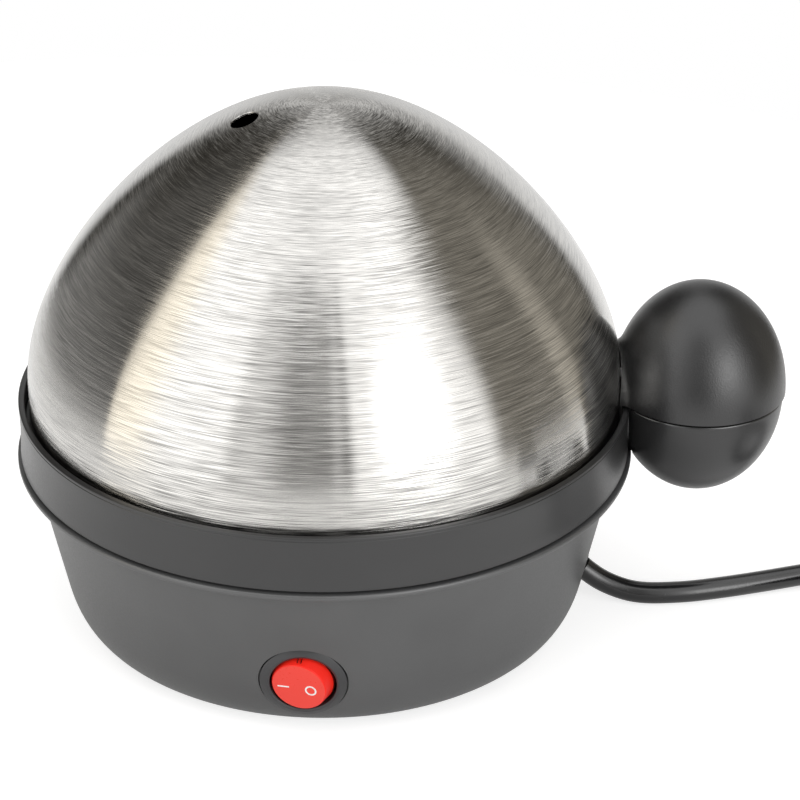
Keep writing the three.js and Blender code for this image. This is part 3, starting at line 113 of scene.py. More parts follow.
def rounded(points):
    """A closed outline of (radius, height[, fillet]) points with its corners rounded off."""
    outline = []
    for i, point in enumerate(points):
        here = Vector(point[:2])
        fillet = point[2] if len(point) > 2 else 0
        if not fillet:
            outline.append(tuple(here))
            continue
        before = Vector(points[i - 1][:2]) - here
        after = Vector(points[(i + 1) % len(points)][:2]) - here
        half = before.angle(after) / 2
        reach = min(
            fillet / math.tan(half), before.length * FILLET_SHARE, after.length * FILLET_SHARE
        )
        a = here + before.normalized() * reach
        b = here + after.normalized() * reach
        for step in range(FILLET_STEPS + 1):
            t = step / FILLET_STEPS
            outline.append(tuple(a * (1 - t) ** 2 + here * (2 * t * (1 - t)) + b * t * t))
    return outline


def straight(a, b, steps):
    """Points of a straight line, its start left out."""
    return [
        tuple(a[k] + (b[k] - a[k]) * step / steps for k in (0, 1)) for step in range(1, steps + 1)
    ]


def bend(a, b, c, steps):
    """Points of a quadratic curve, its start left out."""
    points = []
    for step in range(1, steps + 1):
        t = step / steps
        points.append(
            tuple(a[k] * (1 - t) ** 2 + b[k] * 2 * t * (1 - t) + c[k] * t * t for k in (0, 1))
        )
    return points


def bezier(a, b, c, d, steps):
    """Points of a cubic curve, its start left out."""
    points = []
    for step in range(1, steps + 1):
        t = step / steps
        u = 1 - t
        points.append(
            tuple(
                u**3 * a[k] + 3 * u * u * t * b[k] + 3 * u * t * t * c[k] + t**3 * d[k]
                for k in (0, 1)
            )
        )
    return points


def offset(points, distance):
    """An open outline moved sideways, to the left of its direction of travel."""
    moved = []
    for i, (r, z) in enumerate(points):
        r0, z0 = points[max(i - 1, 0)]
        r1, z1 = points[min(i + 1, len(points) - 1)]
        length = math.hypot(r1 - r0, z1 - z0)
        moved.append(
            (max(r - distance * (z1 - z0) / length, 0), z + distance * (r1 - r0) / length)
        )
    return moved


def circle(radius, steps=48):
    angles = [2 * math.pi * i / steps for i in range(steps)]
    return [(radius * math.cos(angle), radius * math.sin(angle)) for angle in angles]


def rectangle(x0, x1, y0, y1):
    return [(x0, y0), (x1, y0), (x1, y1), (x0, y1)]


def mesh_object(name, vertices, faces, matrix=ON_AXIS):
    """Vertices in millimetres in the given frame."""
    mesh = bpy.data.meshes.new(name)
    mesh.from_pydata([(x * MM, y * MM, z * MM) for x, y, z in vertices], [], faces)
    work = bmesh.new()
    work.from_mesh(mesh)
    bmesh.ops.remove_doubles(work, verts=work.verts, dist=MERGE)
    bmesh.ops.recalc_face_normals(work, faces=work.faces)
    work.to_mesh(mesh)
    work.free()
    return link(name, mesh, matrix)


def lathe(name, outline, segments=192, matrix=ON_AXIS):
    """A solid of revolution about +Z of the frame. The outline closes on itself or on the axis."""
    vertices = []
    rings = []
    for r, z in outline:
        if r < NO_RADIUS:
            rings.append([len(vertices)] * segments)
            vertices.append((0, 0, z))
            continue
        rings.append(range(len(vertices), len(vertices) + segments))
        for i in range(segments):
            angle = 2 * math.pi * i / segments
            vertices.append((r * math.cos(angle), r * math.sin(angle), z))
    faces = []
    on_axis = outline[0][0] < NO_RADIUS and outline[-1][0] < NO_RADIUS
    for k in range(len(outline) - (1 if on_axis else 0)):
        a = rings[k]
        b = rings[(k + 1) % len(outline)]
        for i in range(segments):
            j = (i + 1) % segments
            face = []
            for corner in (a[i], a[j], b[j], b[i]):
                if corner not in face:
                    face.append(corner)
            if len(face) > 2:
                faces.append(face)
    return mesh_object(name, vertices, faces, matrix)


def rod(radius, bottom, top, segments=192, matrix=ON_AXIS):
    """A plain cylinder, to cut with or to join on."""
    return lathe("rod", [(0, bottom), (radius, bottom), (radius, top), (0, top)], segments, matrix)


def extrude(name, outline, bottom, top, matrix=ON_AXIS):
    """An upright prism of a closed (x, y) outline."""
    count = len(outline)
    vertices = [(x, y, bottom) for x, y in outline] + [(x, y, top) for x, y in outline]
    faces = [list(range(count)), list(range(count, 2 * count))]
    for i in range(count):
        j = (i + 1) % count
        faces.append([i, j, count + j, count + i])
    return mesh_object(name, vertices, faces, matrix)


def combine(obj, tool, operation="DIFFERENCE"):
    """Cuts the tool from obj, or joins it to obj. The tool goes."""
    modifier = obj.modifiers.new("combine", "BOOLEAN")
    modifier.operation = operation
    modifier.solver = "EXACT"
    modifier.object = tool
    bpy.context.view_layer.update()
    depsgraph = bpy.context.evaluated_depsgraph_get()
    mesh = bpy.data.meshes.new_from_object(obj.evaluated_get(depsgraph))
    mesh.validate()
    obj.modifiers.clear()
    obj.data = mesh
    bpy.data.objects.remove(tool)


def smooth(obj, degrees=32):
    obj.data.shade_smooth()
    obj.data.set_sharp_from_angle(angle=math.radians(degrees))
    return obj


def piece(obj, body, slot, material, *nodes):
    """Hands a finished piece to its body, with its finish and the nodes that it stands for."""
    obj.data.materials.clear()
    obj.data.materials.append(material)
    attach(obj, body)
    if nodes:
        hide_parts(*nodes)


# ----------------------------------------------------------------------------------------------
# Material helpers
# ----------------------------------------------------------------------------------------------


class Nodes:
    """A node tree, with short ways to add the usual nodes."""

    def __init__(self, tree):
        self.tree = tree

    def add(self, kind, **settings):
        node = self.tree.nodes.new(kind)
        for key, value in settings.items():
            setattr(node, key, value)
        return node

    def link(self, source, target):
        self.tree.links.new(source, target)

    def fill(self, node, *values, first=0):
        """Sets or links a node's inputs in order. None leaves an input as it is."""
        for index, value in enumerate(values, first):
            if isinstance(value, bpy.types.NodeSocket):
                self.link(value, node.inputs[index])
            elif value is not None:
                node.inputs[index].default_value = value
        return node.outputs[0]

    def math(self, operation, a, b=None, c=None):
        return self.fill(self.add("ShaderNodeMath", operation=operation), a, b, c)

    def combine(self, x, y, z):
        return self.fill(self.add("ShaderNodeCombineXYZ"), x, y, z)

    def separate(self, vector):
        node = self.add("ShaderNodeSeparateXYZ")
        self.link(vector, node.inputs[0])
        return node.outputs

    def span(self, value, low, high, from_low=0.3, from_high=0.7):
        """From low to high as the value goes from from_low to from_high."""
        return self.fill(self.add("ShaderNodeMapRange"), value, from_low, from_high, low, high)

    def rise(self, value, middle, softness, low=0.0, high=1.0):
        """From low to high, smoothly, as the value passes the middle."""
        node = self.add("ShaderNodeMapRange", interpolation_type="SMOOTHSTEP")
        return self.fill(node, value, middle - softness / 2, middle + softness / 2, low, high)


class Shader(Nodes):
    """A material's nodes."""

    def __init__(self, name, color, roughness, metallic=0.0):
        self.material = bpy.data.materials.new(name)
        self.material.use_nodes = True
        super().__init__(self.material.node_tree)
        self.bsdf = self.tree.nodes["Principled BSDF"]
        self.set("Base Color", (*color, 1))
        self.set("Roughness", roughness)
        self.set("Metallic", metallic)
        self.object = self.add("ShaderNodeTexCoord").outputs["Object"]

    def set(self, name, value):
        self.bsdf.inputs[name].default_value = value

    def drive(self, name, source):
        self.link(source, self.bsdf.inputs[name])

    def vector(self, operation, a, b=None):
        node = self.add("ShaderNodeVectorMath", operation=operation)
        if operation == "SCALE":
            self.link(b, node.inputs["Scale"])
            b = None
        return self.fill(node, a, b)

    def noise(self, scale, detail, vector=None):
        node = self.add("ShaderNodeTexNoise")
        node.inputs["Scale"].default_value = scale
        node.inputs["Detail"].default_value = detail
        self.link(vector or self.object, node.inputs["Vector"])
        return node.outputs["Fac"]

    def blend(self, factor, a, b):
        """From one plain colour to another."""
        node = self.add("ShaderNodeMix", data_type="RGBA")
        self.link(factor, node.inputs[0])
        self.fill(node, (*a, 1), (*b, 1), first=6)
        return node.outputs[2]

    def bump(self, height, strength, distance):
        node = self.add("ShaderNodeBump")
        node.inputs["Strength"].default_value = strength
        node.inputs["Distance"].default_value = distance
        self.link(height, node.inputs["Height"])
        return node.outputs[0]


PLASTIC_MOTTLE = 35  # scale of the slow changes of shade and sheen
METAL_MOTTLE = 60
GRAIN_ROUGHNESS = 0.04  # how far each moves the roughness, either way
SLOW_ROUGHNESS = 0.03
METAL_ROUGHNESS = 0.07
METAL_DEPTH = 0.00002

# Noise on brushed steel, layer by layer: 1 / its length round the axis in radians, its width in
# metres, and a scratch layer's share. Scratches tilt the surface; the broad band only shades it.
SCRATCHES = ((9, 0.00017, 0.4), (5, 0.00024, 0.35), (2.5, 0.00034, 0.25))
BROAD_BAND = (1.5, 0.003)
SCRATCH_SHARE = 0.93  # of the shade
BROAD_SHARE = 0.07
QUARTER_TURN = 0.25


def moulded(name, color, roughness, grain=1500.0, depth=0.00002, spread=0.12, specular=0.5):
    """Moulded plastic or rubber: fine grain, slow changes of shade and sheen."""
    s = Shader(name, color, roughness)
    s.set("Specular IOR Level", specular)
    slow = s.noise(PLASTIC_MOTTLE, 3)
    fine = s.noise(grain, 2)
    dark = tuple(c * (1 - spread) for c in color)
    light = tuple(min(c * (1 + spread) + 0.002, 1) for c in color)
    s.drive("Base Color", s.blend(s.span(slow, 0, 1), dark, light))
    slow_part = s.span(slow, -SLOW_ROUGHNESS, SLOW_ROUGHNESS)
    fine_part = s.span(fine, roughness - GRAIN_ROUGHNESS, roughness + GRAIN_ROUGHNESS)
    s.drive("Roughness", s.math("ADD", slow_part, fine_part))
    s.drive("Normal", s.bump(fine, 0.6, depth))
    return s.material


def streaked(s, arc, width):
    """Noise drawn out round the piece's axis: about 1 / arc radians long, width metres wide."""
    x, y, z = s.separate(s.object)
    angle = s.math("ARCTAN2", y, x)
    radius = s.math("SQRT", s.math("ADD", s.math("MULTIPLY", x, x), s.math("MULTIPLY", y, y)))
    along = s.math("MULTIPLY", s.math("SUBTRACT", radius, z), 1 / width)
    round_x = s.math("MULTIPLY", s.math("COSINE", angle), arc)
    round_y = s.math("MULTIPLY", s.math("SINE", angle), arc)
    return s.noise(1, 1, s.combine(round_x, round_y, along))


def brushed(name, color, roughness, anisotropy, contrast=0.5, slope=0.7):
    """Steel brushed round its axis. The scratches tilt the surface across themselves only."""
    s = Shader(name, color, roughness, 1)
    s.set("Anisotropic", anisotropy)
    s.set("Anisotropic Rotation", QUARTER_TURN)
    tangent = s.add("ShaderNodeTangent", direction_type="RADIAL", axis="Z").outputs[0]
    s.drive("Tangent", tangent)
    hair, fine, long = (
        s.math("MULTIPLY", streaked(s, arc, width), share) for arc, width, share in SCRATCHES
    )
    scratches = s.math("ADD", s.math("ADD", hair, fine), long)
    broad = s.math("MULTIPLY", streaked(s, *BROAD_BAND), BROAD_SHARE)
    shade = s.math("ADD", s.math("MULTIPLY", scratches, SCRATCH_SHARE), broad)
    dark = tuple(c * (1 - contrast) for c in color)
    light = tuple(min(c * (1 + contrast * 0.8), 1) for c in color)
    s.drive("Base Color", s.blend(s.span(shade, 0, 1, 0.4, 0.6), dark, light))
    s.drive("Roughness", s.span(shade, roughness * 0.65, roughness * 1.35, 0.4, 0.6))
    normal = s.add("ShaderNodeNewGeometry").outputs["Normal"]
    across = s.vector("CROSS_PRODUCT", normal, tangent)
    tilt = s.math("MULTIPLY", s.math("SUBTRACT", scratches, 0.5), slope)
    tilted = s.vector("ADD", normal, s.vector("SCALE", across, tilt))
    s.drive("Normal", s.vector("NORMALIZE", tilted))
    return s.material


def metal(name, color, roughness, scale=400.0):
    """Plain metal with drawing marks and slow changes of sheen."""
    s = Shader(name, color, roughness, 1)
    slow = s.noise(METAL_MOTTLE, 3)
    fine = s.noise(scale, 4)
    dark = tuple(c * 0.85 for c in color)
    s.drive("Base Color", s.blend(s.span(slow, 0, 1), dark, color))
    s.drive("Roughness", s.span(fine, roughness - METAL_ROUGHNESS, roughness + METAL_ROUGHNESS))
    s.drive("Normal", s.bump(fine, 0.3, METAL_DEPTH))
    return s.material


HOUSING = moulded("housing_plastic", (0.062, 0.063, 0.064), 0.37, 1800, 0.00003, specular=0.9)
HANDLE = moulded("handle_plastic", (0.008, 0.008, 0.0085), 0.34, 2200, 0.00009, 0.08, 0.75)
RIM = moulded("handle_rim", (0.02, 0.02, 0.02), 0.16, 2200, 0.000004, 0.08, 1.0)
COLLAR = moulded("collar_plastic", (0.016, 0.016, 0.0165), 0.34, 2000, 0.00003, 0.08, 0.66)
KNOB = moulded("knob_plastic", (0.03, 0.03, 0.032), 0.4, 2000)
DOME = brushed("brushed_dome_steel", (0.56, 0.55, 0.53), 0.2, 1.0)
PAN = brushed("pan_steel", (0.6, 0.59, 0.57), 0.3, 0.6, 0.2, 0.4)
RACK = metal("rack_steel", (0.6, 0.6, 0.6), 0.28)
STEEL = metal("plain_steel", (0.55, 0.55, 0.55), 0.35)
ALUMINIUM = metal("plate_aluminium", (0.6, 0.61, 0.62), 0.45, 250)
ELEMENT = metal("element_steel", (0.3, 0.28, 0.26), 0.5)
BRASS = metal("terminal_brass", (0.62, 0.46, 0.2), 0.35)
PINS = metal("plug_pins", (0.68, 0.67, 0.65), 0.25)
CERAMIC = moulded("ceramic", (0.62, 0.58, 0.5), 0.5, 900)
SILICONE = moulded("silicone", (0.55, 0.52, 0.47), 0.6, 700)
RUBBER = moulded("foot_rubber", (0.018, 0.018, 0.019), 0.75, 900, 0.00004)
BLACK = moulded("switch_black", (0.032, 0.032, 0.034), 0.36, 1500, specular=0.6)
RED = moulded("switch_red", (0.93, 0.022, 0.012), 0.35, 1500, 0.000004, 0.03, 0.25)
# Painted sheen: a paler red for the rocker's face.
RED_PAINTED_SHEEN = moulded("switch_painted_sheen", (0.9, 0.066, 0.048), 0.32, 1500, 0.000004, 0.02, 0.35)
# Painted shade: a dark red for the rocker's foot in the bezel and for its pivot grooves.
RED_PAINTED_SHADE = moulded("switch_painted_shade", (0.09, 0.003, 0.002), 0.5, 1500, 0.000004, 0.03, 0.2)
MARK = moulded("switch_mark", (0.86, 0.86, 0.85), 0.5, 1500, 0.000005, 0.03)
SHEATH = moulded("cord_sheath", (0.006, 0.006, 0.0065), 0.22, 1300, 0.00001, specular=0.75)
MOULDING = moulded("cord_moulding", (0.02, 0.02, 0.021), 0.5, 1500)
WIRES = {
    "wire_live": moulded("wire_brown", (0.16, 0.05, 0.02), 0.45, 900),
    "wire_neutral": moulded("wire_blue", (0.03, 0.11, 0.36), 0.45, 900),
    "wire_earth": moulded("wire_green", (0.2, 0.42, 0.03), 0.45, 900),
    "wire_switched": moulded("wire_black", (0.015, 0.015, 0.015), 0.45, 900),
}
WIRES["wire_link"] = WIRES["wire_switched"]
WIRES["wire_fuse"] = WIRES["wire_switched"]


# ----------------------------------------------------------------------------------------------
# Mains lead
# ----------------------------------------------------------------------------------------------

CORD_RADIUS = 3.15
CORD_STEP = 1.6  # between the points of the lead's curve
CURVE_STEPS = 12  # between two points of its route, before they are spaced evenly

# The coil: its turns lie side by side, then on each other. The spans are in turns from its start.
COIL_CENTRE = (186, -19.9)
COIL_OUTER = 36.2
COIL_INNER = 29.8
COIL_LOW = 3.2
COIL_HIGH = 9.6
COIL_TURNS = 3.19
COIL_STEPS = 96
INWARDS = (0.85, 1)
UPWARDS = (1.7, 1.85)
OUTWARDS = (2.55, 2.7)

CORD_ROUTE = [
    (74.13, 0.18, 10.71),
    (75.5, 0.1, 9.5),
    (79.3, -0.3, 6.8),
    (83.6, -0.8, 4.81),
    (88.1, -1.4, 3.59),
    (92.8, -1.9, 3.2),
    (104, -1.2, 3.2),
    (114.9, 1.3, 3.2),
    (127, 4.9, 3.2),
    (138.9, 8.8, 3.2),
    (150, 12.1, 3.2),
    (160.4, 14.5, 3.2),
    (175, 16.0, 3.2),
]
PLUG_LEAD_ROUTE = [
    (223.6, -18, 9.9),
    (226.6, -31, 12.2),
    (227.9, -36, 15),
    (228.7, -40.5, 17.5),
    (229, -44.5, 18.8),
    (229, -47.6, 19.05),
]


def ease(t, start, end):
    t = min(max((t - start) / (end - start), 0), 1)
    return t * t * (3 - 2 * t)


def coil_point(t):
    """The cord's centre after t clockwise turns of the coil."""
    swing = ease(t, *INWARDS) - ease(t, *OUTWARDS)
    radius = COIL_OUTER - (COIL_OUTER - COIL_INNER) * swing
    height = COIL_LOW + (COIL_HIGH - COIL_LOW) * ease(t, *UPWARDS)
    x, y = polar(radius, 90 - 360 * t)
    return (COIL_CENTRE[0] + x, COIL_CENTRE[1] + y, height)


def between(a, b, start, end, k):
    return a * ((end - k) / (end - start)) + b * ((k - start) / (end - start))


def through(points, spacing):
    """Even steps along a smooth curve through the points, and its length."""
    points = [Vector(p) for p in points]
    dense = [points[0]]
    for i in range(len(points) - 1):
        p1, p2 = points[i], points[i + 1]
        p0 = points[i - 1] if i else p1 * 2 - p2
        p3 = points[i + 2] if i + 2 < len(points) else p2 * 2 - p1
        knots = [0.0]
        for a, b in ((p0, p1), (p1, p2), (p2, p3)):
            knots.append(knots[-1] + (b - a).length ** 0.5)
        k0, k1, k2, k3 = knots
        for step in range(1, CURVE_STEPS + 1):
            k = k1 + (k2 - k1) * step / CURVE_STEPS
            a1 = between(p0, p1, k0, k1, k)
            a2 = between(p1, p2, k1, k2, k)
            a3 = between(p2, p3, k2, k3, k)
            dense.append(
                between(between(a1, a2, k0, k2, k), between(a2, a3, k1, k3, k), k1, k2, k)
            )
    lengths = [0.0]
    for a, b in zip(dense, dense[1:]):
        lengths.append(lengths[-1] + (b - a).length)
    count = max(2, round(lengths[-1] / spacing))
    even = []
    k = 0
    for i in range(count + 1):
        target = lengths[-1] * i / count
        while k < len(lengths) - 2 and lengths[k + 1] < target:
            k += 1
        gap = lengths[k + 1] - lengths[k]
        even.append(dense[k].lerp(dense[k + 1], (target - lengths[k]) / gap if gap else 0))
    return even, lengths[-1]


coil = [coil_point(COIL_TURNS * i / COIL_STEPS) for i in range(COIL_STEPS + 1)]
cord_line, cord_length = through(CORD_ROUTE + coil + PLUG_LEAD_ROUTE, CORD_STEP)
cord_curve = bpy.data.curves.new("mains_lead", "CURVE")
cord_curve.dimensions = "3D"
cord_curve.bevel_depth = CORD_RADIUS * MM
cord_curve.bevel_resolution = 6
cord_curve.use_fill_caps = True
spline = cord_curve.splines.new("POLY")
spline.points.add(len(cord_line) - 1)
for point, spot in zip(spline.points, cord_line):
    point.co = (*(spot * MM), 1)
spline.use_smooth = True
mains_lead = link("mains_lead", cord_curve)
piece(mains_lead, "housing", "cord_sheath", SHEATH, "power_cord", "cord_coil", "plug_lead")

EXIT_PLACE = (73.9, 0.2, 10.9)
EXIT_SLOPE = 40
EXIT_AZIMUTH = -6
exit_frame = at(*EXIT_PLACE) @ turn(EXIT_AZIMUTH, "Z") @ turn(EXIT_SLOPE, "Y") @ turn(90, "Y")
relief = lathe(
    "cord_relief",
    rounded(
        [
            (0, -22),
            (3.95, -22, 0.4),
            (4.2, -7.6, 0.3),
            (6.0, -6.6, 0.3),
            (6.0, -4.6, 0.3),
            (4.2, -4.6, 0.1),
            (4.2, -1.6, 0.1),
            (4.35, -1.4, 0.2),
            (3.9, -0.5, 0.4),
            (3.3, -0.6, 0.1),
            (3.3, -1.2),
            (0, -1.2),
        ]
    ),
    64,
    exit_frame,
)
piece(smooth(relief), "housing", "cord_moulding", MOULDING, "strain_relief")

PLUG_PLACE = (229, -48, 19.05)
PIN_SIDE = 9.5  # from the plug's middle to a pin's
SLEEVE_RIBS = 5
RIB_SPACING = 3.4
RIB_WIDENING = 0.16
RIB_POINTS = ((4.3, 0, 0.2), (4.3, 2.1, 0.2), (3.7, 2.3, 0.1), (3.7, 3.2, 0.1))
GROOVE_DEPTH = (16.6, 22)
GROOVE_HALF = 3.1
plug_frame = at(*PLUG_PLACE) @ turn(-90, "Z") @ turn(90, "Y")
plug_outline = [(0, 0.3), (3.95, 0.3, 0.5)]
for i in range(SLEEVE_RIBS):
    start = 2.2 + i * RIB_SPACING
    for radius, along, fillet in RIB_POINTS:
        plug_outline.append((radius + i * RIB_WIDENING, start + along, fillet))
plug_outline += [
    (5.3, 19.5, 1),
    (14.6, 24.6, 3),
    (18.3, 33.8, 3),
    (18.9, 50.9, 0.8),
    (17.8, 51.9, 0.5),
    (0, 51.9),
]
plug = lathe("plug_body", rounded(plug_outline), 96, plug_frame)
for side in (-1, 1):
    near, far = (side * depth for depth in GROOVE_DEPTH)
    groove = rectangle(near, far, -GROOVE_HALF, GROOVE_HALF)
    combine(plug, extrude("groove", groove, 33, 60, plug_frame))
    combine(plug, rod(2.65, 46, 60, 32, plug_frame @ shift(0, side * PIN_SIDE, 0)))
piece(smooth(plug), "housing", "cord_moulding", MOULDING, "cord_plug")
for i, side in enumerate((-1, 1)):
    pin = lathe(
        f"plug_prong_{i + 1}",
        rounded([(0, 46.3), (2.4, 46.3, 0.2), (2.4, 69.4, 0.6), (1.6, 71, 0.6), (0, 71)]),
        32,
        plug_frame @ shift(0, side * PIN_SIDE, 0),
    )
    piece(smooth(pin), "housing", "plug_pins", PINS, f"plug_pin_{i + 1}")


# ----------------------------------------------------------------------------------------------
# Base
# ----------------------------------------------------------------------------------------------

FLANGE_BOTTOM = 50.7
FLANGE_TOP = 52.3
BOWL_WALL = 2.2
BOWL_BOTTOM = 1.5
BOWL_FLOOR = 7.1
BOWL_FOOT = (63.1, BOWL_BOTTOM)  # where the flat underside ends
BOWL_CORNER = (71.54, BOWL_BOTTOM)
BOWL_SIDE = (74.26, 14.1)  # where the straight side starts

bowl_outside = [BOWL_FOOT]
bowl_outside += bend(BOWL_FOOT, BOWL_CORNER, BOWL_SIDE, 16)
bowl_outside += straight(BOWL_SIDE, (82.1, FLANGE_BOTTOM - 0.5), 8)
bowl_inside = [(r, z) for r, z in offset(bowl_outside, BOWL_WALL) if z > BOWL_FLOOR][::-1]
bowl = lathe(
    "bowl",
    [(56.0, BOWL_BOTTOM)]
    + bowl_outside
    + rounded(
        [
            (82.25, FLANGE_BOTTOM - 0.1),
            (82.6, FLANGE_BOTTOM),
            (86.4, FLANGE_BOTTOM, 0.7),
            (86.4, FLANGE_TOP, 0.7),
            (83.4, FLANGE_TOP, 0.2),
            (83.4, 56.0, 0.4),
            (81.4, 56.0, 0.4),
            (81.4, FLANGE_TOP, 0.2),
            (79.7, FLANGE_TOP - 0.2),
        ]
    )
    + bowl_inside
    + [(63.1, BOWL_FLOOR), (50.7, BOWL_FLOOR), (50.7, 4.9), (56.0, 4.9)],
)

SWITCH_CIRCLE = 74.6  # from the housing's axis to the middle of the switch
SWITCH_HEIGHT = 18.7
SWITCH_AZIMUTH = -93.1
SWITCH_TILT = 9.2  # degrees below the level
switch_turn = math.radians(SWITCH_AZIMUTH)
switch_dip = math.radians(SWITCH_TILT)
switch_out = Vector(
    (
        math.cos(switch_turn) * math.cos(switch_dip),
        math.sin(switch_turn) * math.cos(switch_dip),
        -math.sin(switch_dip),
    )
)
switch_side = Vector((-math.sin(switch_turn), math.cos(switch_turn), 0))
switch_up = switch_out.cross(switch_side)
switch_frame = Matrix((switch_side, switch_up, switch_out)).transposed().to_4x4()
switch_frame.translation = place(*polar(SWITCH_CIRCLE, SWITCH_AZIMUTH), SWITCH_HEIGHT)

# The switch's seat is joined on first, then cut: radius, and from where to where along its axis.
BEZEL_RADIUS = 11.75
SEAT_BACK = -3.7
SEAT_FRONT = -1.5
SEAT_CUTS = (
    (BEZEL_RADIUS, -13, SEAT_BACK),  # hollow behind it
    (12.1, SEAT_FRONT, 9),  # recess for the bezel
    (10.1, -12, 3),  # hole for the barrel
)
combine(bowl, rod(BEZEL_RADIUS, SEAT_BACK, SEAT_FRONT, 96, switch_frame), "UNION")
for radius, back, front in SEAT_CUTS:
    combine(bowl, rod(radius, back, front, 96, switch_frame))
combine(bowl, rod(4.5, -18, 9, 48, exit_frame))  # hole for the lead
SCREW_WELL = [(0, -1), (3.3, -1), (3.3, 4.5), (2.1, 4.6), (2.1, 9), (0, 9)]
SCREW_CIRCLE = 66
for i in range(4):
    combine(bowl, lathe("well", SCREW_WELL, 32, at(*polar(SCREW_CIRCLE, 45 + 90 * i))))
piece(smooth(bowl), "housing", "housing_moulding", HOUSING, "base_bowl")

FOOT_CIRCLE = 46
FOOT_OUTLINE = [(0, 0), (5.5, 0, 0.5), (5.25, 1.75, 0.2), (1.9, 1.75), (1.9, 6.1, 0.6), (0, 6.6)]
for i in range(4):
    foot_frame = at(*polar(FOOT_CIRCLE, 45 + 90 * i))
    foot = lathe(f"rubber_foot_{i + 1}", rounded(FOOT_OUTLINE), 48, foot_frame)
    piece(smooth(foot), "housing", "foot_rubber", RUBBER, f"foot_{i + 1}")


# ----------------------------------------------------------------------------------------------
# Collar with the lower half of the handle
# ----------------------------------------------------------------------------------------------

COLLAR_BOTTOM = 53.0
COLLAR_BORE = 83.7
SHELF_TOP = 63.3  # the shelf inside the collar, which carries the pan
SHELF_BOTTOM = 61.1
EGG_FRAME = at(104.6, 0)  # the handle's upright axis
LOWER_SPLIT = 69.1  # the lower half of the handle ends here
UPPER_SPLIT = 69.9  # and the upper half starts here
EGG_ROUND = 128  # points round an egg
EGG_RINGS = 40
COVER_SPAN = (60, 80)  # heights between which the covers and the rim are cut

collar = lathe(
    "collar",
    rounded(
        [
            (85.5, COLLAR_BOTTOM, 0.35),
            (85.32, 57.2),
            (85.2, 61.0),
            (85.3, 65.0),
            (85.42, 67.75, 0.1),
            (85.27, 67.9, 0.05),
            (85.27, 68.1, 0.05),
            (85.5, 68.2, 0.1),
            (85.5, 69.0, 0.5),
            (COLLAR_BORE, 69.0, 0.5),
            (COLLAR_BORE, SHELF_TOP, 0.4),
            (61.8, SHELF_TOP, 0.4),
            (61.8, 59.9, 0.2),
            (57.3, 59.9, 0.3),
            (57.3, 57.7, 0.3),
            (64.0, 57.7, 0.3),
            (64.0, SHELF_BOTTOM, 0.3),
            (COLLAR_BORE, SHELF_BOTTOM, 0.4),
            (COLLAR_BORE, COLLAR_BOTTOM, 0.3),
        ]
    ),
)


def half_egg(name, radius, height, base, direction, edge=0.0):
    """Half an egg, pointing up (1) or down (-1) from its flat base, which may have a round edge."""
    outline = [(0, base)]
    for step in range(6 if edge else 0):
        angle = math.radians(90 - 15 * step)
        inwards = edge * (math.cos(angle) - 1)
        outline.append((radius + inwards, base - direction * edge * (math.sin(angle) - 1)))
    for step in range(EGG_RINGS + 1):
        angle = step / EGG_RINGS * math.pi / 2
        height_here = base + direction * height * math.sin(angle)
        if abs(height_here - base) >= edge:
            outline.append((radius * math.cos(angle), height_here))
    outline[-1] = (0, outline[-1][1])
    return lathe(name, outline, EGG_ROUND, EGG_FRAME)


LOWER_EDGE = 0.45
lower_egg = half_egg("lower_egg", 23.7, 29.4, LOWER_SPLIT, -1, LOWER_EDGE)

# The neck's section lies in a frame turned on its side, so its first number is minus the height.
NECK_HALF = 12.4
NECK_TOP = LOWER_SPLIT - 0.2
NECK_STEPS = 24
neck_drop = LOWER_SPLIT - COLLAR_BOTTOM - 0.2
neck_section = []
for step in range(NECK_STEPS + 1):
    angle = step / NECK_STEPS * math.pi
    drop = neck_drop * math.sin(angle) ** 0.8
    neck_section.append((-(NECK_TOP - drop), -NECK_HALF * math.cos(angle)))
combine(lower_egg, extrude("neck", neck_section, -30, 2, EGG_FRAME @ turn(90, "Y")), "UNION")
combine(lower_egg, rod(84.6, 0, 90))  # nothing inside the collar
combine(lower_egg, rod(86.8, 0, COLLAR_BOTTOM))  # or below it, by the bowl
combine(lower_egg, half_egg("lower_hollow", 21.5, 27.2, LOWER_SPLIT + 0.01, -1))
combine(collar, lower_egg, "UNION")
piece(smooth(collar), "housing", "housing_moulding", COLLAR, "collar_ring")

RIM_INSIDE = 22.6
RIM_CIRCLE = 23.25
RIM_EDGE = 0.47  # a little more than the edge that it lies on
RIM_BOTTOM = LOWER_SPLIT - 0.6
rim_outline = [(RIM_INSIDE, LOWER_SPLIT + 0.02)]
for step in range(9):
    x, y = polar(RIM_EDGE, 90 - 10 * step)
    rim_outline.append((RIM_CIRCLE + x, LOWER_SPLIT - LOWER_EDGE + y))
rim_outline += [(23.2, RIM_BOTTOM), (RIM_INSIDE, RIM_BOTTOM)]
rim = lathe("handle_rim", rim_outline, 160, EGG_FRAME)
combine(rim, rod(86, *COVER_SPAN))
piece(smooth(rim, 50), "housing", "housing_moulding", RIM)

cover_outline = rounded([(0, 67.2), (20.9, 67.2, 0.2), (20.9, 69.0, 0.4), (0, 69.0)])
lower_cover = lathe("lower_cover", cover_outline, EGG_ROUND, EGG_FRAME)
combine(lower_cover, rod(85.8, *COVER_SPAN))
piece(smooth(lower_cover), "housing", "handle_moulding", HANDLE, "collar_handle_cover")


# ----------------------------------------------------------------------------------------------
# Lid
# ----------------------------------------------------------------------------------------------

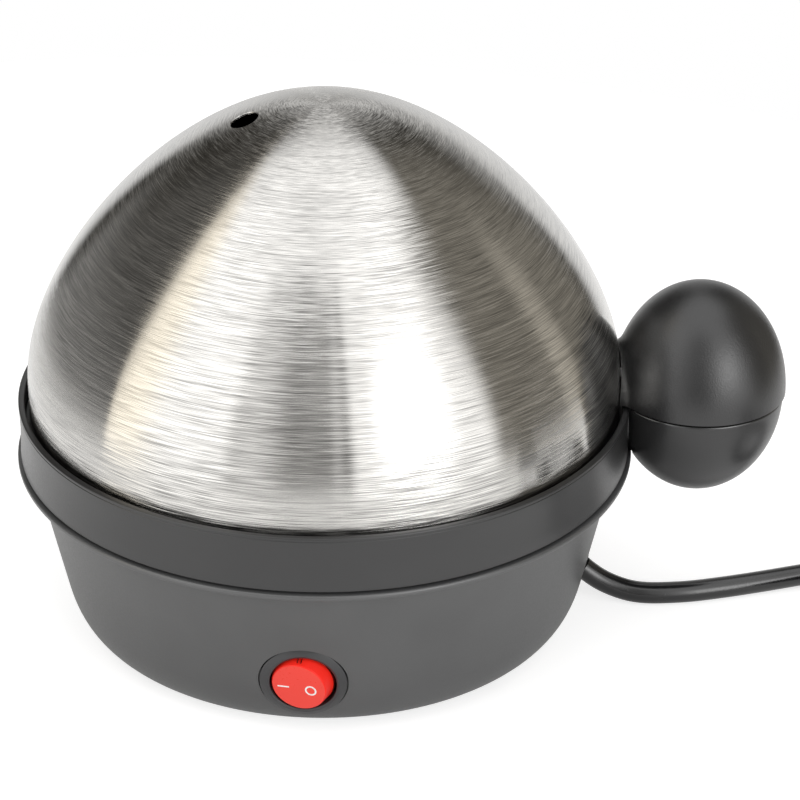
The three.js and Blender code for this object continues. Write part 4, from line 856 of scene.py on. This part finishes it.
DOME_RADIUS = 82.55
DOME_WALL = 0.6
DOME_START = 63.9
DOME_SHOULDER = 75  # the dome is straight up to here
DOME_TOP = 153.8
HEM_BOTTOM = 63.6
dome_outside = [(DOME_RADIUS, DOME_START + i * 1.11) for i in range(11)]
dome_outside += bezier(
    (DOME_RADIUS, DOME_SHOULDER), (DOME_RADIUS, 106.3), (37.5, 156.8), (0, DOME_TOP), 90
)
dome_inside = offset(dome_outside, DOME_WALL)
dome_inside[-1] = (0, dome_outside[-1][1] - DOME_WALL)


def dome_height(radius):
    """Height of the dome's outside at this distance from its axis."""
    for (r0, z0), (r1, z1) in zip(dome_outside, dome_outside[1:]):
        if r1 <= radius < r0:
            return z0 + (z1 - z0) * (r0 - radius) / (r0 - r1)
    return dome_outside[-1][1]


dome = lathe(
    "dome",
    dome_outside[:-1]
    + [(0, dome_outside[-1][1]), (0, dome_inside[-1][1])]
    + [p for p in dome_inside[-2::-1] if p[1] > 65.2]
    + [(81.95, 64.9), (80.85, 64.9), (80.85, 63.9), (81.15, HEM_BOTTOM), (82.25, HEM_BOTTOM)],
    256,
)
HOLE_CIRCLE = 21.4  # from the axis to the steam hole
HOLE_AZIMUTH = 189
hole_tilt = math.atan2(dome_height(HOLE_CIRCLE - 1) - dome_height(HOLE_CIRCLE + 1), 2)
hole_frame = (
    at(*polar(HOLE_CIRCLE, HOLE_AZIMUTH), dome_height(HOLE_CIRCLE))
    @ turn(HOLE_AZIMUTH, "Z")
    @ Matrix.Rotation(hole_tilt, 4, "Y")
)
hole_outline = [(0, -6), (4, -6), (4, -0.25, 0.2), (4.35, 0.15, 0.1), (4.35, 6), (0, 6)]
combine(dome, lathe("steam_hole", rounded(hole_outline), 64, hole_frame))
LID_SCREW_SIDE = 6.5
LID_SCREW_HEIGHT = 76.9
for y in (-LID_SCREW_SIDE, LID_SCREW_SIDE):
    combine(dome, rod(2.1, 76, 86, 32, at(0, y, LID_SCREW_HEIGHT) @ turn(90, "Y")))
piece(smooth(dome, 40), "lid", "brushed_dome", DOME, "lid_dome")

EGG_RADIUS = 24.35
EGG_HEIGHT = 31.0
HANDLE_WALL = 2.2
HANDLE_ROUND = 144
HANDLE_RINGS = 48
SADDLE_HALF = 12.4  # the saddle joins the handle to the dome
SADDLE_HEIGHT = 12.6
SADDLE_REACH = 30
SADDLE_BLEND = 22  # the higher, the sharper the line between the two
DOME_GAP = 0.3


def handle_reach(direction):
    """Distance from the egg's centre to its surface, or to the saddle's where that is further."""
    x, y, z = direction
    egg = 1 / math.sqrt((x * x + y * y) / EGG_RADIUS**2 + z * z / EGG_HEIGHT**2)
    if x > -0.2:
        return egg
    across = math.hypot(y / SADDLE_HALF, z / SADDLE_HEIGHT)
    saddle = min(1 / max(across, 0.02), SADDLE_REACH / -x)
    return (egg**SADDLE_BLEND + saddle**SADDLE_BLEND) ** (1 / SADDLE_BLEND)


handle_vertices = []
for ring in range(HANDLE_RINGS):
    climb = ring / HANDLE_RINGS * math.pi / 2
    for i in range(HANDLE_ROUND):
        way = 2 * math.pi * i / HANDLE_ROUND
        direction = (
            math.cos(way) * math.cos(climb),
            math.sin(way) * math.cos(climb),
            math.sin(climb),
        )
        reach = handle_reach(direction)
        handle_vertices.append([c * reach for c in direction])
        handle_vertices[-1][2] += UPPER_SPLIT
top = len(handle_vertices)
handle_vertices.append((0, 0, UPPER_SPLIT + EGG_HEIGHT))
handle_faces = [list(range(HANDLE_ROUND))]
for ring in range(HANDLE_RINGS):
    a = ring * HANDLE_ROUND
    b = a + HANDLE_ROUND
    for i in range(HANDLE_ROUND):
        j = (i + 1) % HANDLE_ROUND
        if ring == HANDLE_RINGS - 1:
            handle_faces.append([a + i, a + j, top])
        else:
            handle_faces.append([a + i, a + j, b + j, b + i])
handle = mesh_object("handle_top", handle_vertices, handle_faces, EGG_FRAME)
hollow_radius, hollow_height = EGG_RADIUS - HANDLE_WALL, EGG_HEIGHT - HANDLE_WALL
combine(handle, half_egg("hollow", hollow_radius, hollow_height, UPPER_SPLIT - 0.01, 1))
gap = offset(dome_outside, -DOME_GAP)
gap[-1] = (0, gap[-1][1])
combine(handle, lathe("dome_space", [(0, 55), (DOME_RADIUS + DOME_GAP, 55)] + gap))
piece(smooth(handle), "lid", "handle_moulding", HANDLE, "lid_handle")

cover_outline = rounded([(0, 70.1), (21.5, 70.1, 0.3), (21.5, 71.9, 0.3), (0, 71.9)])
upper_cover = lathe("upper_cover", cover_outline, EGG_ROUND, EGG_FRAME)
combine(upper_cover, rod(84.35, *COVER_SPAN))
piece(smooth(upper_cover), "lid", "handle_moulding", HANDLE, "lid_handle_cover")


# ----------------------------------------------------------------------------------------------
# Pan, seal and rack
# ----------------------------------------------------------------------------------------------

PAN_BOTTOM = 40.9
PAN_WALL = 0.8
PAN_FOOT = (44, PAN_BOTTOM)
PAN_CORNER = (50, PAN_BOTTOM)
PAN_SIDE = (51, 46.9)
pan_skin = [PAN_FOOT]
pan_skin += bend(PAN_FOOT, PAN_CORNER, PAN_SIDE, 12)
pan_skin += straight(PAN_SIDE, (55.8, 61.0), 6)
pan = lathe(
    "pan",
    [(0, PAN_BOTTOM)]
    + pan_skin
    + rounded([(56.0, 61.5), (60.6, 61.5, 0.2), (60.6, 62.3, 0.3), (56.3, 62.3), (55.4, 61.9)])
    + offset(pan_skin, PAN_WALL)[::-1]
    + [(0, 41.7)],
    160,
)
piece(smooth(pan, 40), "housing", "pan_steel", PAN, "water_pan")

seal_outline = [(*corner, 0.3) for corner in rectangle(57.6, 60.9, 60.2, 61.2)]
seal = lathe("seal", rounded(seal_outline), 160)
piece(smooth(seal), "housing", "silicone", SILICONE, "pan_seal")

EGG_PLACES = 7
EGG_CIRCLE = 51.05
STEAM_CIRCLE = 22.05
rack = lathe(
    "rack",
    rounded(
        [
            (0, 71.5),
            (71.25, 71.5, 0.6),
            (73.25, 63.6, 0.2),
            (75.45, 63.6, 0.3),
            (75.45, 64.4, 0.3),
            (74.05, 64.4, 0.2),
            (72.05, 72.3, 1.0),
            (0, 72.3),
        ]
    ),
)
egg_frames = [at(*polar(EGG_CIRCLE, 90 + i * 360 / EGG_PLACES)) for i in range(EGG_PLACES)]
for egg_frame in egg_frames:
    combine(rack, rod(19.8, 70.3, 72.0, 96, egg_frame), "UNION")  # its lip
place_cut = [(0, 60), (19, 60), (19, 71.5, 0.7), (19.7, 72.5, 0.3), (19.7, 80), (0, 80)]
for i, egg_frame in enumerate(egg_frames):
    combine(rack, lathe("place", rounded(place_cut), 96, egg_frame))
    steam_frame = at(*polar(STEAM_CIRCLE, 90 + (i + 0.5) * 360 / EGG_PLACES))
    combine(rack, rod(3, 70, 80, 48, steam_frame))
combine(rack, rod(2.1, 70, 80, 48))  # hole for the stem
piece(smooth(rack), "rack", "rack_steel", RACK, "egg_rack")

KNOB_CENTRE = 115.1
KNOB_RADIUS = 8.5
KNOB_HALF = 6.5
KNOB_STEPS = 32
knob_outline = rounded(
    [
        (0, 66.5),
        (1.8, 66.5, 0.2),
        (1.8, 72.6),
        (6.6, 72.6, 0.3),
        (6.6, 74.1, 0.5),
        (3.0, 76.6, 1.5),
        (2.55, 108.3, 1.0),
    ]
)
for step in range(1, KNOB_STEPS + 1):
    angle = -math.pi / 2 + step / KNOB_STEPS * math.pi
    radius = KNOB_RADIUS * math.cos(angle)
    if radius > 2.6 or angle > 0:
        knob_outline.append((max(radius, 0), KNOB_CENTRE + KNOB_HALF * math.sin(angle)))
knob_outline[-1] = (0, 121.6)
knob = lathe("rack_knob", knob_outline, 96)
piece(smooth(knob), "rack", "rack_knob", KNOB, "rack_handle")


# ----------------------------------------------------------------------------------------------
# Switch
# ----------------------------------------------------------------------------------------------

bezel = lathe(
    "switch_bezel",
    rounded(
        [
            (0, -10),
            (9.8, -10),
            (9.8, -1.2),
            (BEZEL_RADIUS, -1.2, 0.2),
            (BEZEL_RADIUS, 0.3, 0.6),
            (9.75, 1.2, 0.35),
            (9.0, 0.9, 0.2),
            (9.0, -8.4),
            (0, -8.4),
        ]
    ),
    128,
    switch_frame,
)
combine(bezel, extrude("box", rectangle(-6.5, 6.5, -8, 8), -21, -9.5, switch_frame), "UNION")
piece(smooth(bezel), "housing", "switch_black", BLACK, "switch_body")

PIVOT_DEPTH = 2.6
ROCKER_REST = -12  # degrees
rocker_frame = switch_frame @ shift(0, 0, -PIVOT_DEPTH) @ turn(ROCKER_REST, "Y")
rocker_outline = [
    (0, -3.6),
    (7.8, -3.6, 0.3),
    (8.7, -0.8, 0.6),
    (8.7, 0.6, 0.6),
    (7.5, 5.0, 0.45),
    (0, 5.05),
]
rocker = lathe("rocker_button", rounded(rocker_outline), 128, rocker_frame)
piece(smooth(rocker), "rocker", "switch_red", RED, "switch_rocker")

# Thin skins where the rocker's red differs: painted shade, darker, at its foot in the bezel, and a
# painted sheen, paler, on its face.
foot_outline = [
    (0, -3.62),
    (7.82, -3.62, 0.3),
    (8.73, -0.8, 0.6),
    (8.73, 0.7, 0.5),
    (8.56, 1.2),
    (0, 1.2),
]
foot_shade_skin = lathe("rocker_foot_shade", rounded(foot_outline), 96, rocker_frame)
piece(smooth(foot_shade_skin), "rocker", "switch_red", RED_PAINTED_SHADE)

# Painted shade: thin dark red slabs where the rocker's pivot grooves are.
RIB_HALF = 0.08
for i, (x, side) in enumerate(((-0.5, 1), (0.5, 1), (-0.8, -1), (0.8, -1))):
    left, right = x - RIB_HALF, x + RIB_HALF
    groove_shade_outline = [(left, side * 7.0), (right, side * 7.0), (right, side * 8.3), (left, side * 8.2)]
    groove_shade = extrude(f"pivot_groove_shade_{i + 1}", groove_shade_outline, 0.8, 4.2, rocker_frame)
    piece(groove_shade, "rocker", "switch_red", RED_PAINTED_SHADE)

# Painted sheen: a paler skin on the rocker's face.
face_outline = [(0, 4.9), (7.3, 4.9), (7.3, 5.07, 0.05), (0, 5.07)]
face_sheen_skin = lathe("rocker_face_sheen", rounded(face_outline), 96, rocker_frame)
piece(smooth(face_sheen_skin), "rocker", "switch_red", RED_PAINTED_SHEEN)

MARK_HEIGHT = 0.09
mark_frame = rocker_frame @ turn(5, "Z") @ shift(-0.3, -0.2, 5.04)
off_frame = mark_frame @ shift(3.6, -0.5, 0)
off_mark = extrude("off_mark", circle(1.6), 0, MARK_HEIGHT, off_frame)
combine(off_mark, extrude("off_inside", circle(1.15), -1, 1, off_frame))
piece(off_mark, "rocker", "switch_red", MARK)
on_mark = extrude("on_mark", rectangle(-5.6, -2.4, -0.22, 0.22), 0, MARK_HEIGHT, mark_frame)
piece(on_mark, "rocker", "switch_red", MARK)


# ----------------------------------------------------------------------------------------------
# Finishes of the pieces kept as they are
# ----------------------------------------------------------------------------------------------

FINISHES = {
    "bottom_cover": HOUSING,
    "heating_plate": ALUMINIUM,
    "heating_element": ELEMENT,
    "thermostat": CERAMIC,
    "thermal_fuse": STEEL,
    "rack_nut": STEEL,
    "lid_washer_1": SILICONE,
    "lid_washer_2": SILICONE,
    "switch_terminal_1": BRASS,
    "switch_terminal_2": BRASS,
    **WIRES,
}
for name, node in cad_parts.items():
    if node.hide_render:
        continue
    node.data.materials.clear()
    node.data.materials.append(FINISHES.get(name, STEEL))


# ----------------------------------------------------------------------------------------------
# Floor, world and light
# ----------------------------------------------------------------------------------------------

FLOOR_RADIUS = 470
FLOOR_CENTRE = (-60, -40)
FLOOR_HEIGHT = -0.05
FLOOR_SIDES = 128
FLOOR_GLOW = 0.72
# Painted shadow: what is glossy sees the glow dimmed round the object, this share of it at these
# metres from the axis.
SHADE_NEAR, SHADE_NEAR_END = 0.4, 0.09
SHADE_FAR, SHADE_FAR_START = 1, 0.165

floor_outline = [(*p, FLOOR_HEIGHT) for p in circle(FLOOR_RADIUS, FLOOR_SIDES)]
floor = mesh_object("floor", floor_outline, [list(range(FLOOR_SIDES))], at(*FLOOR_CENTRE))
floor_look = Shader("floor", (0.5, 0.5, 0.5), 0.9)
floor_look.set("Specular IOR Level", 0.0)
# Painted shadow: glossy rays see the floor's glow dimmed near the object.
away = floor_look.add("ShaderNodeVectorMath", operation="DISTANCE")
floor_look.fill(away, floor_look.object, (-FLOOR_CENTRE[0] * MM, -FLOOR_CENTRE[1] * MM, 0))
painted_shadow = floor_look.span(
    away.outputs["Value"], SHADE_NEAR, SHADE_FAR, SHADE_NEAR_END, SHADE_FAR_START
)
rays = floor_look.add("ShaderNodeLightPath").outputs
seen = floor_look.math("MULTIPLY", rays["Is Glossy Ray"], painted_shadow)
seen = floor_look.math("MAXIMUM", rays["Is Camera Ray"], seen)
seen = floor_look.math("MAXIMUM", seen, rays["Is Transmission Ray"])
floor_look.set("Emission Color", (1, 1, 1, 1))
floor_look.drive("Emission Strength", floor_look.math("MULTIPLY", seen, FLOOR_GLOW))
floor.data.materials.append(floor_look.material)

# The studio round the object, in degrees: azimuth anticlockwise from +X, elevation above the level.
# A panel is (azimuth from, to, softness of each edge, elevation from, to, softness, level, warmth).
# Panels add up. The last one is the backdrop that what is glossy sees as white.
DIM = 0.06
TOP_PANEL = (54, 63, 1.65)  # the overhead softbox starts, is full, level
WARMTH = (0.0, 0.07, 0.2)  # how much of each colour a fully warm panel lacks
PANELS = [
    (-175.5, -158, 2, 18, -30, 70, 6, 1.8, 1.0),  # warm edge of the left softbox
    (-158, -125, 18, 6, -30, 70, 6, 1.8, 0.0),  # left softbox
    (-125, -108, 6, 18, -30, 70, 6, 1.0, 0.0),  # its dimmer end
    (-85.5, -82, 3, 3, -30, 70, 6, 0.4, 0.0),  # bright line
    (-78, -22.5, 5, 8, -30, 70, 6, 1.62, 0.0),  # right softbox
    (-66, -41, 14, 14, 3, 33, 14, 3.2, 0.0),  # its bright middle
    (-107, -77, 24, 4, 8, 70, 20, 0.46, 0.0),  # wall behind the camera
    (-107, -77, 24, 4, -30, 8, 20, 0.14, 0.0),  # its foot
    (126, 184.5, 14, 4, -30, 12, 16, 0.22, 0.0),  # low wall on the left
    (140, 184.5, 20, 4, 12, 70, 20, 0.07, 0.0),  # dimmer above it
    (-23, 50, 10, 20, -30, 70, 8, 0.22, 1.0),  # side wall
    (13, 24, 6, 6, -30, 30, 10, 0.3, 1.0),  # light stripe on it
    (52, 116, 14, 12, 8, 22, 14, 0.36, 0.0),  # backdrop above the white
    (76, 102, 18, 16, 16, 62, 14, 0.55, 0.0),  # and higher up
    (58, 115, 12, 12, -30, 8, 12, 0.85, 0.0),  # white backdrop
]
# The left softbox's outer edge, and what meets it, lean further round as they rise: this many
# degrees times the elevation to the fourth. They are the edges past these two azimuths.
LEAN = 0.0000025
LEAN_BELOW = -150
LEAN_ABOVE = 180
TO_DEGREES = 180 / math.pi

world = bpy.data.worlds.new("studio")
scene.world = world
world.use_nodes = True
studio = Nodes(world.node_tree)
studio.tree.nodes.clear()

x, y, z = studio.separate(studio.add("ShaderNodeTexCoord").outputs["Generated"])
azimuth = studio.math("MULTIPLY", studio.math("ARCTAN2", y, x), TO_DEGREES)
elevation = studio.math("MULTIPLY", studio.math("ARCSINE", z), TO_DEGREES)
high = studio.math("MAXIMUM", elevation, 0.0)
lean = studio.math("MULTIPLY", studio.math("POWER", high, 4), LEAN)


def leaned(turned, edge):
    if LEAN_BELOW <= edge <= LEAN_ABOVE:
        return turned
    return studio.math("ADD", turned, lean)


def panel_share(start, end, start_soft, end_soft, bottom, top, level_soft):
    """How much of a panel lies in a direction, from 0 to 1."""
    from_middle = studio.math("SUBTRACT", azimuth, (start + end) / 2)
    turned = studio.math("WRAP", from_middle, 180, -180)
    half = (end - start) / 2
    share = studio.rise(leaned(turned, start), -half, start_soft)
    for fall in (
        studio.rise(leaned(turned, end), half, end_soft, 1, 0),
        studio.rise(elevation, bottom, level_soft),
        studio.rise(elevation, top, level_soft, 1, 0),
    ):
        share = studio.math("MULTIPLY", share, fall)
    return share


level = warm_level = DIM
for *shape, strength, warmth in PANELS:
    share = panel_share(*shape)
    lit_share = studio.math("MULTIPLY", share, strength)
    level = studio.math("ADD", level, lit_share)
    if warmth:
        warm_level = studio.math("ADD", warm_level, studio.math("MULTIPLY", lit_share, warmth))
white_share = share

top_start, top_full, top_level = TOP_PANEL
overhead = studio.rise(elevation, (top_start + top_full) / 2, top_full - top_start)
channels = []
for lack in WARMTH:
    around = studio.math("SUBTRACT", level, studio.math("MULTIPLY", warm_level, lack))
    mixed = studio.add("ShaderNodeMix", data_type="FLOAT")
    channels.append(studio.fill(mixed, overhead, None, around, top_level))
lit = studio.add("ShaderNodeBackground")
studio.link(studio.combine(*channels), lit.inputs["Color"])
white = studio.add("ShaderNodeBackground")
white.inputs["Color"].default_value = (1, 1, 1, 1)
white.inputs["Strength"].default_value = 1

# The world is white to the camera and through what is clear, and the backdrop in what is glossy.
rays = studio.add("ShaderNodeLightPath").outputs
shown = studio.math("MAXIMUM", rays["Is Camera Ray"], rays["Is Transmission Ray"])
mirrored = studio.math("MULTIPLY", rays["Is Glossy Ray"], white_share)
shown = studio.math("MAXIMUM", shown, mirrored)
shown_or_lit = studio.fill(
    studio.add("ShaderNodeMixShader"), shown, lit.outputs[0], white.outputs[0]
)
studio.link(shown_or_lit, studio.add("ShaderNodeOutputWorld").inputs[0])

scene.view_settings.view_transform = "Standard"
